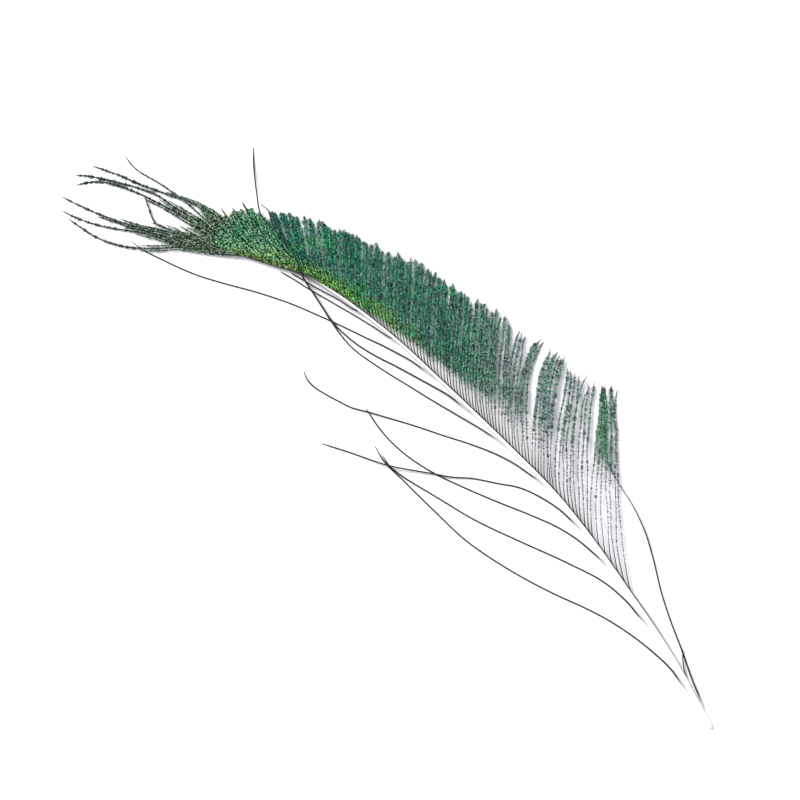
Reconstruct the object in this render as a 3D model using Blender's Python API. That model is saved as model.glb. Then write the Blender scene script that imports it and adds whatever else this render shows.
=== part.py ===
"""A peacock sword feather lying on a flat surface, fringe on one side and bare loose barbs on the other.

The frame is in metres with +Z up and the surface at Z = 0. The origin is under the quill, in the middle of
the flat that it rests on. +X runs from the quill to the feather's tip, the green fringe is on the -Y side,
and the loose barbs lie on the +Y side. The routes below are written in millimetres: X, Y and the height of
the piece's underside above the surface, so a height of 0 lies on the surface.
"""

import math
from collections import namedtuple
from itertools import accumulate

import bmesh
import bpy
from mathutils import Matrix, Vector

MM = 0.001  # metres in a millimetre
GAP = 0.3  # clear space between a piece and the shaft that carries it
HEADING_REACH = 0.2  # how far before and after a point of a route its heading is measured
HALVINGS = 40  # steps in the search for a point of a route
SHARP_EDGE = 50  # degrees between faces above which their edge stays sharp on the shaft

# The shaft: X, Y, height of the underside, width. It lies flat from the second point to the third.
SHAFT = (
    (-9.4, 3.7, 0.0, 1.3),
    (-8.0, 3.2, 0.0, 2.2),
    (8.8, -3.5, 0.0, 2.6),
    (16.5, -6.8, 0.15, 2.7),
    (38.0, -14.6, 0.5, 2.9),
    (60.0, -21.2, 0.9, 2.8),
    (84.0, -28.3, 1.4, 2.6),
    (107.0, -33.8, 1.8, 2.3),
    (144.0, -38.5, 2.3, 2.0),
    (184.0, -42.1, 2.5, 1.8),
    (210.0, -44.0, 2.5, 1.65),
    (232.0, -44.0, 2.4, 1.5),
    (250.5, -42.6, 2.3, 1.4),
    (264.0, -40.0, 2.2, 1.3),
    (274.0, -35.9, 2.1, 1.15),
    (285.5, -31.3, 2.0, 0.95),
    (297.0, -26.3, 1.9, 0.7),
    (304.5, -22.7, 1.9, 0.5),
)
SHAFT_SIDES = 8
SHAFT_STEP = 8.0  # length of one stretch of shaft
FLAT_RINGS = 3  # the quill's end and both ends of its flat

# Locks of the fringe: where the first and last barb leave the shaft (X), where those two barbs end (X, Y),
# the height of the lock's tip above the surface, how far its barbs turn towards the shaft at their roots,
# and how far they lean towards the quill at their tips, both in degrees.
Lock = namedtuple("Lock", "name root_from root_to tip_from tip_to lift turn lean material")
FRINGE = (
    Lock("fringe_lock_01", 60.0, 87.8, (121.8, -89.4), (126.0, -84.6), 0.0, 8, -2, "fringe"),
    Lock("fringe_lock_02", 90.0, 95.8, (129.0, -84.2), (131.2, -81.2), 0.9, 8, 7, "fringe"),
    Lock("fringe_lock_03", 98.2, 112.4, (134.6, -83.4), (141.0, -82.4), 1.4, 14, 6, "fringe"),
    Lock("fringe_lock_04", 114.6, 127.8, (146.4, -84.8), (154.0, -83.6), 1.8, 9, 16, "fringe"),
    Lock("fringe_lock_05", 129.8, 136.0, (158.8, -84.6), (162.0, -82.2), 0.0, 11, 25, "fringe"),
    Lock("fringe_lock_06", 138.0, 148.2, (167.8, -82.0), (178.4, -82.9), 1.2, 9, 5, "fringe"),
    Lock("fringe_lock_07", 150.2, 164.6, (181.8, -81.8), (194.2, -80.4), 1.5, 9, 2, "fringe"),
    Lock("fringe_lock_08", 166.6, 180.2, (196.4, -79.8), (207.2, -79.0), 0.6, 9, 0, "fringe"),
    Lock("fringe_lock_09", 182.2, 192.4, (208.8, -78.8), (218.4, -77.9), 0.0, 10, 0, "fringe"),
    Lock("fringe_lock_10", 194.4, 204.8, (220.2, -77.4), (229.6, -76.2), 1.1, 10, 0, "fringe"),
    Lock("fringe_lock_11", 206.8, 216.6, (230.9, -75.6), (239.6, -73.0), 1.4, 11, 0, "fringe"),
    Lock("fringe_lock_12", 218.6, 234.4, (241.2, -71.8), (256.2, -69.0), 0.7, 12, 0, "fringe"),
    Lock("fringe_lock_13", 236.4, 245.0, (258.0, -68.2), (267.9, -65.0), 1.3, 13, 0, "fringe"),
    Lock("fringe_lock_14", 247.0, 258.4, (269.3, -64.4), (282.6, -59.0), 0.7, 14, 0, "fringe"),
    Lock("fringe_lock_15", 260.2, 265.4, (286.0, -57.0), (290.8, -53.8), 0.4, 14, 0, "fringe"),
    Lock("tip_tuft_1", 267.2, 273.6, (292.6, -50.5), (299.6, -47.6), 0.9, 18, 0, "tuft"),
    Lock("tip_tuft_2", 275.4, 281.8, (301.4, -46.0), (304.4, -41.4), 1.2, 14, 0, "tuft"),
    Lock("tip_tuft_3", 285.8, 289.8, (306.4, -36.2), (307.8, -35.0), 1.4, 10, 0, "tuft"),
)
LOCK_CELLS = (4, 9)  # cells of a lock's mesh across its barbs and along them
LOCK_CROWN = 0.3  # how far a lock's middle barbs reach past its outer ones
LOCK_ARCH = 0.5  # how far a lock bows up between its root and its tip
LOCK_THICKNESS = (0.7, 1.1, 0.5)  # at the root, the middle and the tip
EDGE_SHARE = 0.45  # thickness of a lock's side edges, as a share of its middle

# Single barbs: which side of the shaft they leave (1 is +Y, -1 is -Y, 0 its end), at what X, their width,
# and their route from there to the tip.
Barb = namedtuple("Barb", "name side root width route material")
BARBS = (
    Barb("loose_barb_01", 1, 12.0, 0.60, (
        (20.0, -5.2, 0.4), (34.5, -6.5, 0.0), (47.0, -6.2, 0.0), (58.6, -4.9, 0.0), (69.0, -2.8, 0.0),
        (84.0, 1.0, 0.0), (103.0, 4.6, 0.0), (118.0, 6.4, 0.0), (130.0, 7.0, 0.0), (149.0, 5.5, 0.0),
        (169.0, 3.5, 0.0), (181.5, 2.0, 0.0), (188.0, -0.5, 0.0)), "bare_barb"),
    Barb("loose_barb_02", 1, 45.0, 0.60, (
        (56.0, -16.8, 0.5), (68.0, -17.3, 0.0), (88.5, -13.5, 0.0), (110.0, -8.0, 0.0),
        (133.5, -2.5, 0.0), (152.0, 0.0, 0.0), (163.0, 1.5, 0.5), (172.5, 2.4, 1.0), (179.0, 2.0, 1.0),
        (183.0, 0.5, 0.9)), "bare_barb"),
    Barb("loose_barb_03", 1, 76.0, 0.60, (
        (82.0, -24.5, 1.0), (90.4, -24.7, 0.4), (101.0, -23.5, 0.0), (114.5, -20.0, 0.0),
        (131.0, -15.0, 0.0), (147.5, -10.5, 0.0), (158.0, -8.0, 0.0), (176.5, -6.2, 0.0),
        (186.5, -7.0, 0.0), (195.0, -9.0, 0.0), (201.5, -11.2, 0.0)), "bare_barb"),
    Barb("loose_barb_04", 1, 96.0, 0.60, (
        (105.5, -30.2, 1.2), (114.5, -29.4, 0.4), (126.0, -26.5, 0.0), (134.5, -22.0, 0.0),
        (145.0, -16.5, 0.2), (153.0, -11.0, 0.9), (159.5, -7.5, 1.0), (168.5, -2.5, 1.4),
        (177.0, 2.0, 2.0), (186.0, 5.5, 1.0), (194.5, 8.5, 0.0), (207.5, 13.5, 0.0)), "bare_barb"),
    Barb("loose_barb_05", 1, 122.0, 0.60, (
        (136.0, -33.4, 1.6), (143.5, -31.8, 0.9), (154.0, -28.5, 0.2), (168.0, -23.2, 0.0),
        (179.5, -19.0, 0.0), (192.0, -14.0, 0.7), (200.5, -10.5, 1.0), (207.5, -7.4, 0.4),
        (214.0, -6.0, 0.0), (220.0, -4.9, 0.0), (227.5, -4.3, 0.0), (231.5, -5.2, 0.0), (234.0, -6.8, 0.0)
    ), "bare_barb"),
    Barb("loose_barb_06", 1, 147.0, 0.60, (
        (155.5, -36.4, 2.2), (169.5, -34.4, 1.3), (182.0, -32.6, 0.5), (192.6, -31.3, 0.1),
        (205.2, -29.7, 0.0), (213.0, -29.0, 0.0), (219.5, -28.6, 0.0), (225.0, -28.8, 0.1),
        (231.5, -30.0, 0.5), (238.4, -32.0, 0.85), (244.0, -33.9, 1.6), (250.8, -36.2, 2.8),
        (256.5, -38.0, 3.7), (261.0, -39.6, 4.05), (265.6, -42.4, 4.1), (270.0, -45.0, 4.1),
        (274.0, -46.5, 4.05), (281.6, -49.6, 3.9), (287.5, -51.9, 3.7), (292.4, -53.4, 3.4),
        (296.0, -53.3, 3.2)), "bare_barb"),
    Barb("loose_barb_07", 1, 168.0, 0.65, (
        (176.0, -39.1, 2.3), (186.0, -37.6, 1.5), (196.2, -35.8, 0.8), (204.8, -34.2, 0.4),
        (212.3, -32.6, 0.4), (218.3, -31.7, 0.5), (224.6, -31.2, 0.8), (230.0, -31.3, 1.2),
        (235.0, -31.7, 1.55), (240.0, -32.8, 1.8), (244.0, -34.1, 2.35), (250.8, -36.4, 3.5),
        (256.5, -38.2, 4.4), (261.0, -39.8, 4.7), (265.6, -42.5, 4.75), (270.0, -45.1, 4.75),
        (274.0, -46.5, 4.7), (281.0, -47.9, 4.5), (288.1, -48.5, 4.2), (293.4, -49.8, 3.8),
        (296.2, -51.9, 3.5), (299.8, -55.3, 2.9), (304.0, -59.3, 1.9), (309.0, -64.4, 0.8),
        (314.7, -71.0, 0.0)), "bare_barb"),
    Barb("loose_barb_08", 1, 191.0, 0.60, (
        (200.0, -40.6, 1.8), (206.9, -39.4, 1.2), (213.5, -38.1, 0.7), (220.3, -36.4, 0.2),
        (229.7, -34.3, 0.0), (238.0, -32.3, 0.0), (244.1, -30.7, 0.0), (257.5, -27.0, 0.0),
        (272.5, -21.5, 0.0), (287.5, -15.0, 0.0), (297.5, -11.0, 0.0), (307.5, -8.0, 0.0),
        (314.0, -6.5, 0.0), (321.5, -4.8, 0.0), (328.0, -3.9, 0.0), (331.0, -4.2, 0.0)), "bare_barb"),
    Barb("loose_barb_09", 1, 214.0, 0.55, (
        (221.0, -42.1, 1.8), (230.3, -41.0, 1.2), (241.0, -39.4, 0.9), (249.0, -38.2, 0.9),
        (257.0, -37.0, 0.9), (264.5, -36.2, 0.9), (270.4, -35.2, 0.9)), "bare_barb"),
    Barb("loose_barb_10", 1, 234.0, 0.55, (
        (242.0, -41.8, 1.6), (250.0, -40.3, 1.4), (257.4, -39.0, 1.3), (262.9, -38.3, 1.2),
        (266.2, -37.7, 1.2)), "bare_barb"),
    Barb("base_barb", -1, 2.5, 0.60, (
        (10.5, -7.5, 0.4), (22.5, -15.0, 0.0), (34.5, -22.0, 0.0), (46.0, -29.5, 0.0), (59.0, -39.5, 0.3),
        (68.5, -46.0, 1.0), (76.0, -50.0, 2.0), (82.0, -52.6, 2.9), (89.0, -54.9, 3.5),
        (97.0, -58.0, 3.7), (104.0, -62.0, 3.7), (109.0, -67.0, 3.6), (114.0, -73.0, 3.3),
        (119.0, -79.0, 2.8), (123.6, -84.4, 2.0)), "bare_barb"),
    Barb("short_base_barb", -1, 17.3, 0.50, (
        (19.6, -11.8, 1.1), (22.8, -15.8, 1.0)), "bare_barb"),
    Barb("tip_barb_01", -1, 284.0, 0.65, (
        (291.0, -34.3, 2.1), (295.0, -35.6, 2.1), (301.5, -36.8, 2.0), (307.0, -37.0, 1.9),
        (312.5, -36.4, 1.6), (319.0, -35.2, 1.3), (324.0, -33.5, 1.1), (332.0, -30.5, 0.8),
        (337.0, -28.8, 0.6), (344.5, -26.3, 0.3), (353.0, -24.0, 0.0), (358.5, -22.2, 0.0),
        (366.0, -19.5, 0.0)), "tip_barb"),
    Barb("tip_barb_02", -1, 292.5, 0.60, (
        (300.0, -31.1, 2.2), (307.5, -32.1, 2.3), (315.0, -32.6, 2.3), (321.5, -33.0, 2.2),
        (328.0, -32.9, 1.95), (333.5, -32.6, 1.7), (338.5, -32.1, 1.4), (343.5, -31.3, 1.0),
        (349.0, -30.6, 0.5), (353.0, -30.9, 0.2), (357.5, -32.2, 0.0)), "tip_barb"),
    Barb("tip_barb_03", -1, 295.5, 0.65, (
        (302.0, -29.2, 1.8), (307.0, -29.8, 1.6), (313.5, -29.6, 1.4), (320.5, -28.7, 1.2),
        (326.5, -28.0, 1.0), (331.5, -27.8, 0.9), (336.5, -27.1, 0.7), (341.0, -25.6, 0.5),
        (346.5, -23.5, 0.3), (351.0, -21.4, 0.1), (358.0, -18.2, 0.0), (363.5, -15.4, 0.0),
        (369.5, -11.5, 0.0)), "tip_barb"),
    Barb("tip_barb_04", -1, 298.0, 0.65, (
        (304.0, -27.1, 1.8), (311.5, -27.8, 1.6), (319.0, -27.1, 1.4), (325.5, -26.3, 1.3),
        (331.0, -25.3, 1.0), (336.0, -24.2, 0.9), (340.0, -23.4, 0.8), (345.5, -21.8, 0.6),
        (350.5, -20.2, 0.4), (353.5, -18.9, 0.2), (357.5, -17.0, 0.1), (360.0, -15.2, 0.0),
        (363.0, -12.4, 0.0), (366.5, -8.0, 0.0)), "tip_barb"),
    Barb("tip_barb_05", -1, 300.5, 0.55, (
        (306.0, -24.9, 1.8), (312.0, -22.7, 1.8), (319.0, -19.6, 1.8), (324.5, -17.7, 1.75),
        (327.5, -17.0, 1.7), (331.0, -18.4, 1.65), (335.0, -20.9, 1.6), (338.8, -23.2, 1.6)), "tip_barb"),
    Barb("tip_barb_06", 0, 304.5, 0.65, (
        (310.0, -21.6, 1.8), (321.0, -16.4, 1.4), (327.0, -13.5, 1.2), (332.5, -11.0, 1.0),
        (338.0, -8.6, 0.7), (343.5, -6.5, 0.4), (349.5, -4.6, 0.2), (355.5, -2.9, 0.0),
        (361.5, -1.5, 0.0), (368.5, 0.0, 0.0)), "tip_barb"),
    Barb("tip_barb_07", 1, 301.0, 0.50, (
        (307.0, -20.8, 1.9), (314.0, -17.7, 1.7), (321.0, -14.9, 1.5), (329.0, -11.4, 1.1),
        (334.5, -8.9, 0.8), (340.0, -6.9, 0.6), (345.0, -5.0, 0.4), (350.0, -3.1, 0.2)), "tip_barb"),
    Barb("tip_barb_08", 1, 297.0, 0.60, (
        (303.0, -21.6, 1.8), (309.0, -18.7, 1.7), (314.5, -16.1, 1.6), (320.0, -13.8, 1.4),
        (326.0, -11.6, 1.1), (331.0, -9.3, 0.9), (336.0, -6.4, 0.7), (341.0, -3.5, 0.5),
        (346.5, -0.7, 0.2), (353.0, 2.0, 0.0), (359.0, 3.8, 0.0), (364.5, 4.9, 0.0)), "tip_barb"),
    Barb("tip_barb_09", 1, 292.0, 0.60, (
        (297.5, -23.7, 1.6), (304.0, -20.1, 1.5), (309.0, -17.4, 1.4), (313.5, -14.7, 1.3),
        (316.5, -12.0, 1.2), (319.5, -9.2, 1.1), (323.5, -6.0, 1.1), (329.0, -2.0, 1.0),
        (333.5, 0.5, 0.7), (340.0, 3.2, 0.3), (345.5, 4.7, 0.1), (352.5, 5.4, 0.0), (360.0, 5.9, 0.0)
    ), "tip_barb"),
)
BARB_STEP = 6.0  # length of one stretch of barb
TIP_SHARE = 0.5  # width of a barb's tip, as a share of its width

# Base colour, roughness and metallic value of each material.
LOOKS = {
    "shaft": ((0.86, 0.79, 0.62), 0.35, 0.0),
    "fringe": ((0.02, 0.22, 0.13), 0.40, 0.3),
    "tuft": ((0.06, 0.30, 0.08), 0.40, 0.3),
    "bare_barb": ((0.05, 0.04, 0.03), 0.50, 0.0),
    "tip_barb": ((0.05, 0.07, 0.03), 0.45, 0.2),
}


def steady_slopes(marks, values):
    """Slopes for a curve through values that never swings past them, so a level stretch stays level."""
    steps = [(b - a) / (n - m) for a, b, m, n in zip(values, values[1:], marks, marks[1:])]
    inner = [2 * a * b / (a + b) if a * b > 0 else 0.0 for a, b in zip(steps, steps[1:])]
    return [steps[0], *inner, steps[-1]]


def round_slopes(marks, values):
    """Slopes for a curve that rounds each point evenly between its neighbours."""
    steps = [(b - a) / (n - m) for a, b, m, n in zip(values, values[1:], marks, marks[1:])]
    spans = [n - m for m, n in zip(marks, marks[1:])]
    inner = [(a * t + b * s) / (s + t) for a, b, s, t in zip(steps, steps[1:], spans, spans[1:])]
    return [steps[0], *inner, steps[-1]]


class Route:
    """A smooth curve through rows of values. The first two are X and Y, and length is measured along them."""

    def __init__(self, rows):
        spans = [math.dist(a[:2], b[:2]) for a, b in zip(rows, rows[1:])]
        self.marks = [0.0, *accumulate(spans)]
        self.length = self.marks[-1]
        self.columns = list(zip(*rows))
        self.slopes = [
            (round_slopes if i < 2 else steady_slopes)(self.marks, column)
            for i, column in enumerate(self.columns)
        ]

    def at(self, mark):
        """The row of values at this length along the route."""
        mark = min(max(mark, 0.0), self.length)
        i = max(k for k in range(len(self.marks) - 1) if self.marks[k] <= mark)
        span = self.marks[i + 1] - self.marks[i]
        t = (mark - self.marks[i]) / span
        return tuple(
            (2 * t**3 - 3 * t**2 + 1) * values[i]
            + (t**3 - 2 * t**2 + t) * span * slopes[i]
            + (3 * t**2 - 2 * t**3) * values[i + 1]
            + (t**3 - t**2) * span * slopes[i + 1]
            for values, slopes in zip(self.columns, self.slopes)
        )

    def heading(self, mark):
        """The unit direction of the route in plan."""
        x0, y0 = self.at(mark - HEADING_REACH)[:2]
        x1, y1 = self.at(mark + HEADING_REACH)[:2]
        return Vector((x1 - x0, y1 - y0, 0.0)).normalized()

    def marks_every(self, step, start=0.0):
        """Even lengths along the route from start to its end, about a step apart."""
        count = max(2, round((self.length - start) / step))
        return [start + (self.length - start) * i / count for i in range(count + 1)]

    def mark_at_x(self, x):
        """The length along the route where it passes this X, which must grow along it."""
        low, high = 0.0, self.length
        for _ in range(HALVINGS):
            middle = (low + high) / 2
            low, high = (middle, high) if self.at(middle)[0] < x else (low, middle)
        return low


shaft_route = Route(SHAFT)


def side_of(heading):
    """The level direction to the left of a heading, which is the +Y side of the shaft."""
    return Vector((-heading.y, heading.x, 0.0))


def beside_shaft(x, side, clear):
    """A point level with the shaft's middle, this far clear of its side, or past its end where side is 0."""
    mark = shaft_route.mark_at_x(x)
    px, py, under, width = shaft_route.at(mark)
    heading = shaft_route.heading(mark)
    away = side_of(heading) * side * (width / 2 + clear) if side else heading * clear
    return Vector((px, py, under + width / 2)) + away


def add_object(name, bm, material, smooth=False):
    """Makes the named object from a mesh in millimetres, with its faces turned outwards."""
    bmesh.ops.recalc_face_normals(bm, faces=bm.faces)
    mesh = bpy.data.meshes.new(name)
    bm.to_mesh(mesh)
    bm.free()
    mesh.transform(Matrix.Scale(MM, 4))
    if smooth:
        mesh.shade_smooth()
        mesh.set_sharp_from_angle(angle=math.radians(SHARP_EDGE))
    mesh.materials.append(material)
    bpy.context.scene.collection.objects.link(bpy.data.objects.new(name, mesh))


def loft(bm, rings):
    """Skins rings of points into a closed tube with flat ends."""
    loops = [[bm.verts.new(point) for point in ring] for ring in rings]
    for near, far in zip(loops, loops[1:]):
        for i in range(len(near)):
            j = (i + 1) % len(near)
            bm.faces.new((near[i], near[j], far[j], far[i]))
    bm.faces.new(loops[0][::-1])
    bm.faces.new(loops[-1])


def round_ring(route, mark):
    """The shaft's section: an even polygon that stands on one of its sides."""
    x, y, under, width = route.at(mark)
    centre = Vector((x, y, under + width / 2))
    side = side_of(route.heading(mark))
    radius = width / 2 / math.cos(math.pi / SHAFT_SIDES)
    turns = [2 * math.pi * (i + 0.5) / SHAFT_SIDES - math.pi / 2 for i in range(SHAFT_SIDES)]
    return [centre + side * radius * math.cos(a) + Vector((0, 0, radius * math.sin(a))) for a in turns]


def square_ring(route, mark, width):
    """A barb's section, level with the surface so that it can lie on it."""
    x, y, under = route.at(mark)
    side = side_of(route.heading(mark)) * width / 2
    foot, rise = Vector((x, y, under)), Vector((0, 0, width))
    return [foot - side, foot + side, foot + side + rise, foot - side + rise]


def make_shaft(material):
    """Quill and rachis in one piece, as they grew."""
    flat_end = shaft_route.marks[FLAT_RINGS - 1]
    marks = [*shaft_route.marks[: FLAT_RINGS - 1], *shaft_route.marks_every(SHAFT_STEP, flat_end)]
    bm = bmesh.new()
    loft(bm, [round_ring(shaft_route, mark) for mark in marks])
    add_object("shaft", bm, material, smooth=True)


def make_barb(barb, material):
    """One barb from the shaft to its tip, tapering over its whole length."""
    root = beside_shaft(barb.root, barb.side, GAP + barb.width / 2)
    route = Route(((root.x, root.y, root.z - barb.width / 2), *barb.route))
    bm = bmesh.new()
    rings = []
    for mark in route.marks_every(BARB_STEP):
        share = 1 - (1 - TIP_SHARE) * (mark / route.length) ** 2
        rings.append(square_ring(route, mark, barb.width * share))
    loft(bm, rings)
    add_object(barb.name, bm, material)


def lock_point(lock, across, along):
    """A point of the lock's middle surface; across runs over its barbs, and along runs from root to tip."""
    root = beside_shaft(lock.root_from + (lock.root_to - lock.root_from) * across, -1, GAP)
    tip = Vector((*lock.tip_from, 0.0)).lerp(Vector((*lock.tip_to, 0.0)), across)
    chord = Vector((tip.x - root.x, tip.y - root.y, 0.0))
    tip += chord.normalized() * LOCK_CROWN * math.sin(math.pi * across)
    turn = Matrix.Rotation(math.radians(lock.turn), 3, "Z")
    lean = Matrix.Rotation(math.radians(-lock.lean), 3, "Z")
    start = Vector((root.x, root.y, 0.0))
    stops = (start, start + turn @ chord / 3, tip - lean @ chord / 3, tip)
    weights = ((1 - along) ** 3, 3 * along * (1 - along) ** 2, 3 * along**2 * (1 - along), along**3)
    point = sum((stop * weight for stop, weight in zip(stops, weights)), Vector())
    tip_height = lock.lift + LOCK_THICKNESS[2] / 2
    point.z = root.z + (tip_height - root.z) * along + LOCK_ARCH * math.sin(math.pi * along)
    return point


def lock_thickness(across, along):
    """Full in the middle of the lock, thin along its edges and at its tip."""
    root, middle, tip = LOCK_THICKNESS
    body = root + (middle - root) * 2 * along if along < 0.5 else middle + (tip - middle) * (2 * along - 1)
    return body * (EDGE_SHARE if across in (0, 1) and 0 < along < 1 else 1)


def make_lock(lock, material):
    """A lock of barbs that lie together, as one closed blade from the shaft to their tips."""
    columns, rows = LOCK_CELLS
    bm = bmesh.new()
    grids = []
    for face in (1, -1):
        grid = []
        for i in range(columns + 1):
            shares = [(i / columns, j / rows) for j in range(rows + 1)]
            half = [Vector((0, 0, face * lock_thickness(*share) / 2)) for share in shares]
            grid.append([bm.verts.new(lock_point(lock, *s) + h) for s, h in zip(shares, half)])
        grids.append(grid)
        for i in range(columns):
            for j in range(rows):
                bm.faces.new((grid[i][j], grid[i + 1][j], grid[i + 1][j + 1], grid[i][j + 1])[::face])
    rims = []
    for grid in grids:
        far, near = grid[columns], grid[0]
        top = [grid[i][rows] for i in range(1, columns)]
        bottom = [grid[i][0] for i in range(columns - 1, 0, -1)]
        rims.append([*near, *top, *far[::-1], *bottom])
    upper, lower = rims
    for i in range(len(upper)):
        j = (i + 1) % len(upper)
        bm.faces.new((upper[i], upper[j], lower[j], lower[i]))
    add_object(lock.name, bm, material)


def make_material(name, colour, roughness, metallic):
    """A plain surface in this piece's colour."""
    material = bpy.data.materials.new(name)
    material.use_nodes = True
    surface = material.node_tree.nodes["Principled BSDF"]
    surface.inputs["Base Color"].default_value = (*colour, 1.0)
    surface.inputs["Roughness"].default_value = roughness
    surface.inputs["Metallic"].default_value = metallic
    material.diffuse_color = (*colour, 1.0)
    return material


def main():
    for old in list(bpy.data.objects):
        bpy.data.objects.remove(old, do_unlink=True)
    materials = {name: make_material(name, *look) for name, look in LOOKS.items()}
    make_shaft(materials["shaft"])
    for lock in FRINGE:
        make_lock(lock, materials[lock.material])
    for barb in BARBS:
        make_barb(barb, materials[barb.material])


main()
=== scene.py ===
import math
from collections import namedtuple

import bpy
import numpy as np
from mathutils import Matrix, Vector


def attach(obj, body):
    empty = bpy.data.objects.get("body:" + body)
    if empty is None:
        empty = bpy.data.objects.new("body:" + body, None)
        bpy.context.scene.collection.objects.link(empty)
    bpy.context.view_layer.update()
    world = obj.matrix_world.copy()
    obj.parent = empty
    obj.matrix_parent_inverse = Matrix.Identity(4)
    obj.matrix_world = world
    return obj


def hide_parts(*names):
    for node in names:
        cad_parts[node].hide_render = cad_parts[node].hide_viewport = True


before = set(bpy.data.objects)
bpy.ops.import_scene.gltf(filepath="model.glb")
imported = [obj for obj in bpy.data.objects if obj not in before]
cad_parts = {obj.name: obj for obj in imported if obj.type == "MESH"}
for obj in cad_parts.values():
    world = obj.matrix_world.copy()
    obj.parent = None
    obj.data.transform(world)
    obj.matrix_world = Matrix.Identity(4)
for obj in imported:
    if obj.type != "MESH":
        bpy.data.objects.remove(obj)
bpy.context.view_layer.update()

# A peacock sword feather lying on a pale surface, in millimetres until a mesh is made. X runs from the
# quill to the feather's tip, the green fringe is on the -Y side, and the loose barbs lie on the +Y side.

MM = 0.001  # metres in a millimetre
UP = np.array((0, 0, 1))

# The shaft: X, Y, height of the underside, width.
SHAFT = (
    (-9.4, 3.7, 0, 1.3), (-8, 3.2, 0, 2.2), (8.8, -3.5, 0, 2.6), (16.5, -6.8, 0.15, 2.7),
    (38, -14.6, 0.5, 2.9), (60, -21.2, 0.9, 2.8), (84, -28.3, 1.4, 2.6), (107, -33.8, 1.8, 2.3),
    (144, -38.5, 2.3, 2), (184, -42.1, 2.5, 1.8), (210, -44, 2.5, 1.65), (232, -44, 2.4, 1.5),
    (250.5, -42.6, 2.3, 1.4), (264, -40, 2.2, 1.3), (274, -35.9, 2.1, 1.15), (285.5, -31.3, 2, 0.95),
    (297, -26.3, 1.9, 0.7), (304.5, -22.7, 1.9, 0.5),
)

# Locks of the fringe: where the first and last barb leave the shaft (X), where those two end (X, Y), the
# height of the lock's tip, how far its barbs turn towards the shaft at their roots and lean towards the
# quill at their tips in degrees, and how many barbs lie in each of its bunches, from the quill's side.
Lock = namedtuple("Lock", "name root_from root_to tip_from tip_to lift turn lean bunches")
FRINGE = (
    Lock("fringe_lock_01", 60, 87.8, (121.8, -89.4), (126, -84.6), 0, 8, -2, (7,)),
    Lock("fringe_lock_02", 90, 95.8, (129, -84.2), (131.2, -81.2), 0.9, 8, 7, (3,)),
    Lock("fringe_lock_03", 98.2, 112.4, (134.6, -83.4), (141, -82.4), 1.4, 14, 6, (2, 3, 1)),
    Lock("fringe_lock_04", 114.6, 127.8, (146.4, -84.8), (154, -83.6), 1.8, 9, 16, (3, 3, 2)),
    Lock("fringe_lock_05", 129.8, 136, (158.8, -84.6), (162, -82.2), 0, 11, 25, (4,)),
    Lock("fringe_lock_06", 138, 148.2, (167.8, -82), (178.4, -82.9), 1.2, 9, 5, (1, 2, 2, 1)),
    Lock("fringe_lock_07", 150.2, 164.6, (181.8, -81.8), (194.2, -80.4), 1.5, 9, 2, (2, 3, 2, 2)),
    Lock("fringe_lock_08", 166.6, 180.2, (196.4, -79.8), (207.2, -79), 0.6, 9, 0, (3, 2, 3)),
    Lock("fringe_lock_09", 182.2, 192.4, (208.8, -78.8), (218.4, -77.9), 0, 10, 0, (2, 2, 2)),
    Lock("fringe_lock_10", 194.4, 204.8, (220.2, -77.4), (229.6, -76.2), 1.1, 10, 0, (3, 1, 2)),
    Lock("fringe_lock_11", 206.8, 216.6, (230.9, -75.6), (239.6, -73), 1.4, 11, 0, (2, 2, 2)),
    Lock("fringe_lock_12", 218.6, 234.4, (241.2, -71.8), (256.2, -69), 0.7, 12, 0, (3, 2, 2, 2)),
    Lock("fringe_lock_13", 236.4, 245, (258, -68.2), (267.9, -65), 1.3, 13, 0, (2, 2, 2)),
    Lock("fringe_lock_14", 247, 258.4, (269.3, -64.4), (282.6, -59), 0.7, 14, 0, (2, 3, 2)),
    Lock("fringe_lock_15", 260.2, 265.4, (286, -57), (290.8, -53.8), 0.4, 14, 0, (2, 2)),
    Lock("tip_tuft_1", 267.2, 273.6, (292.6, -50.5), (299.6, -47.6), 0.9, 18, 0, (3, 2, 2)),
    Lock("tip_tuft_2", 275.4, 281.8, (301.4, -46), (304.4, -41.4), 1.2, 14, 0, (2, 2, 2)),
    Lock("tip_tuft_3", 285.8, 289.8, (306.4, -36.2), (307.8, -35), 1.4, 10, 0, (2, 2)),
)
LOCK_CROWN = 0.3  # how far a lock's middle barbs reach past its outer ones
TIP_SPREAD = 2.1  # how far the longest herls reach past the lock's tip line, which the others lie about
LOCK_ARCH = 0.5  # how far a lock bows up between its root and its tip
TIP_THICKNESS = 0.5  # of a lock's CAD solid
ROOT_CLEAR = 0.3  # a barb starts this deep inside the shaft's side, and is free of it this far outside
BUNCH_DRAW = 0.88  # how close the tips of a bunch lie, by the spacing of its roots
BUNCH_FALL = 1.2  # the most that one bunch ends before the next
UNEVEN = 1.8  # the most that one herl ends before its neighbour, where the tips do not curl
LOOSE_UNTIL = 150  # the fringe's herls wander more on the quill's side of this X

# Notches in the fringe's outer edge, about 1.7 wide halfway down: the X they lie at and their depth.
NOTCHES = (
    (180.3, 2.5), (187, 2), (195.2, 4.5), (203.2, 2.5), (208, 1.5), (213.6, 1.2), (219.3, 3.2), (224.2, 2),
    (230.1, 2), (237.4, 2.6), (240.2, 3), (248.6, 1.3), (256.7, 2.6), (268.6, 2), (275.7, 1.5), (284.3, 2.5),
)

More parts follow.
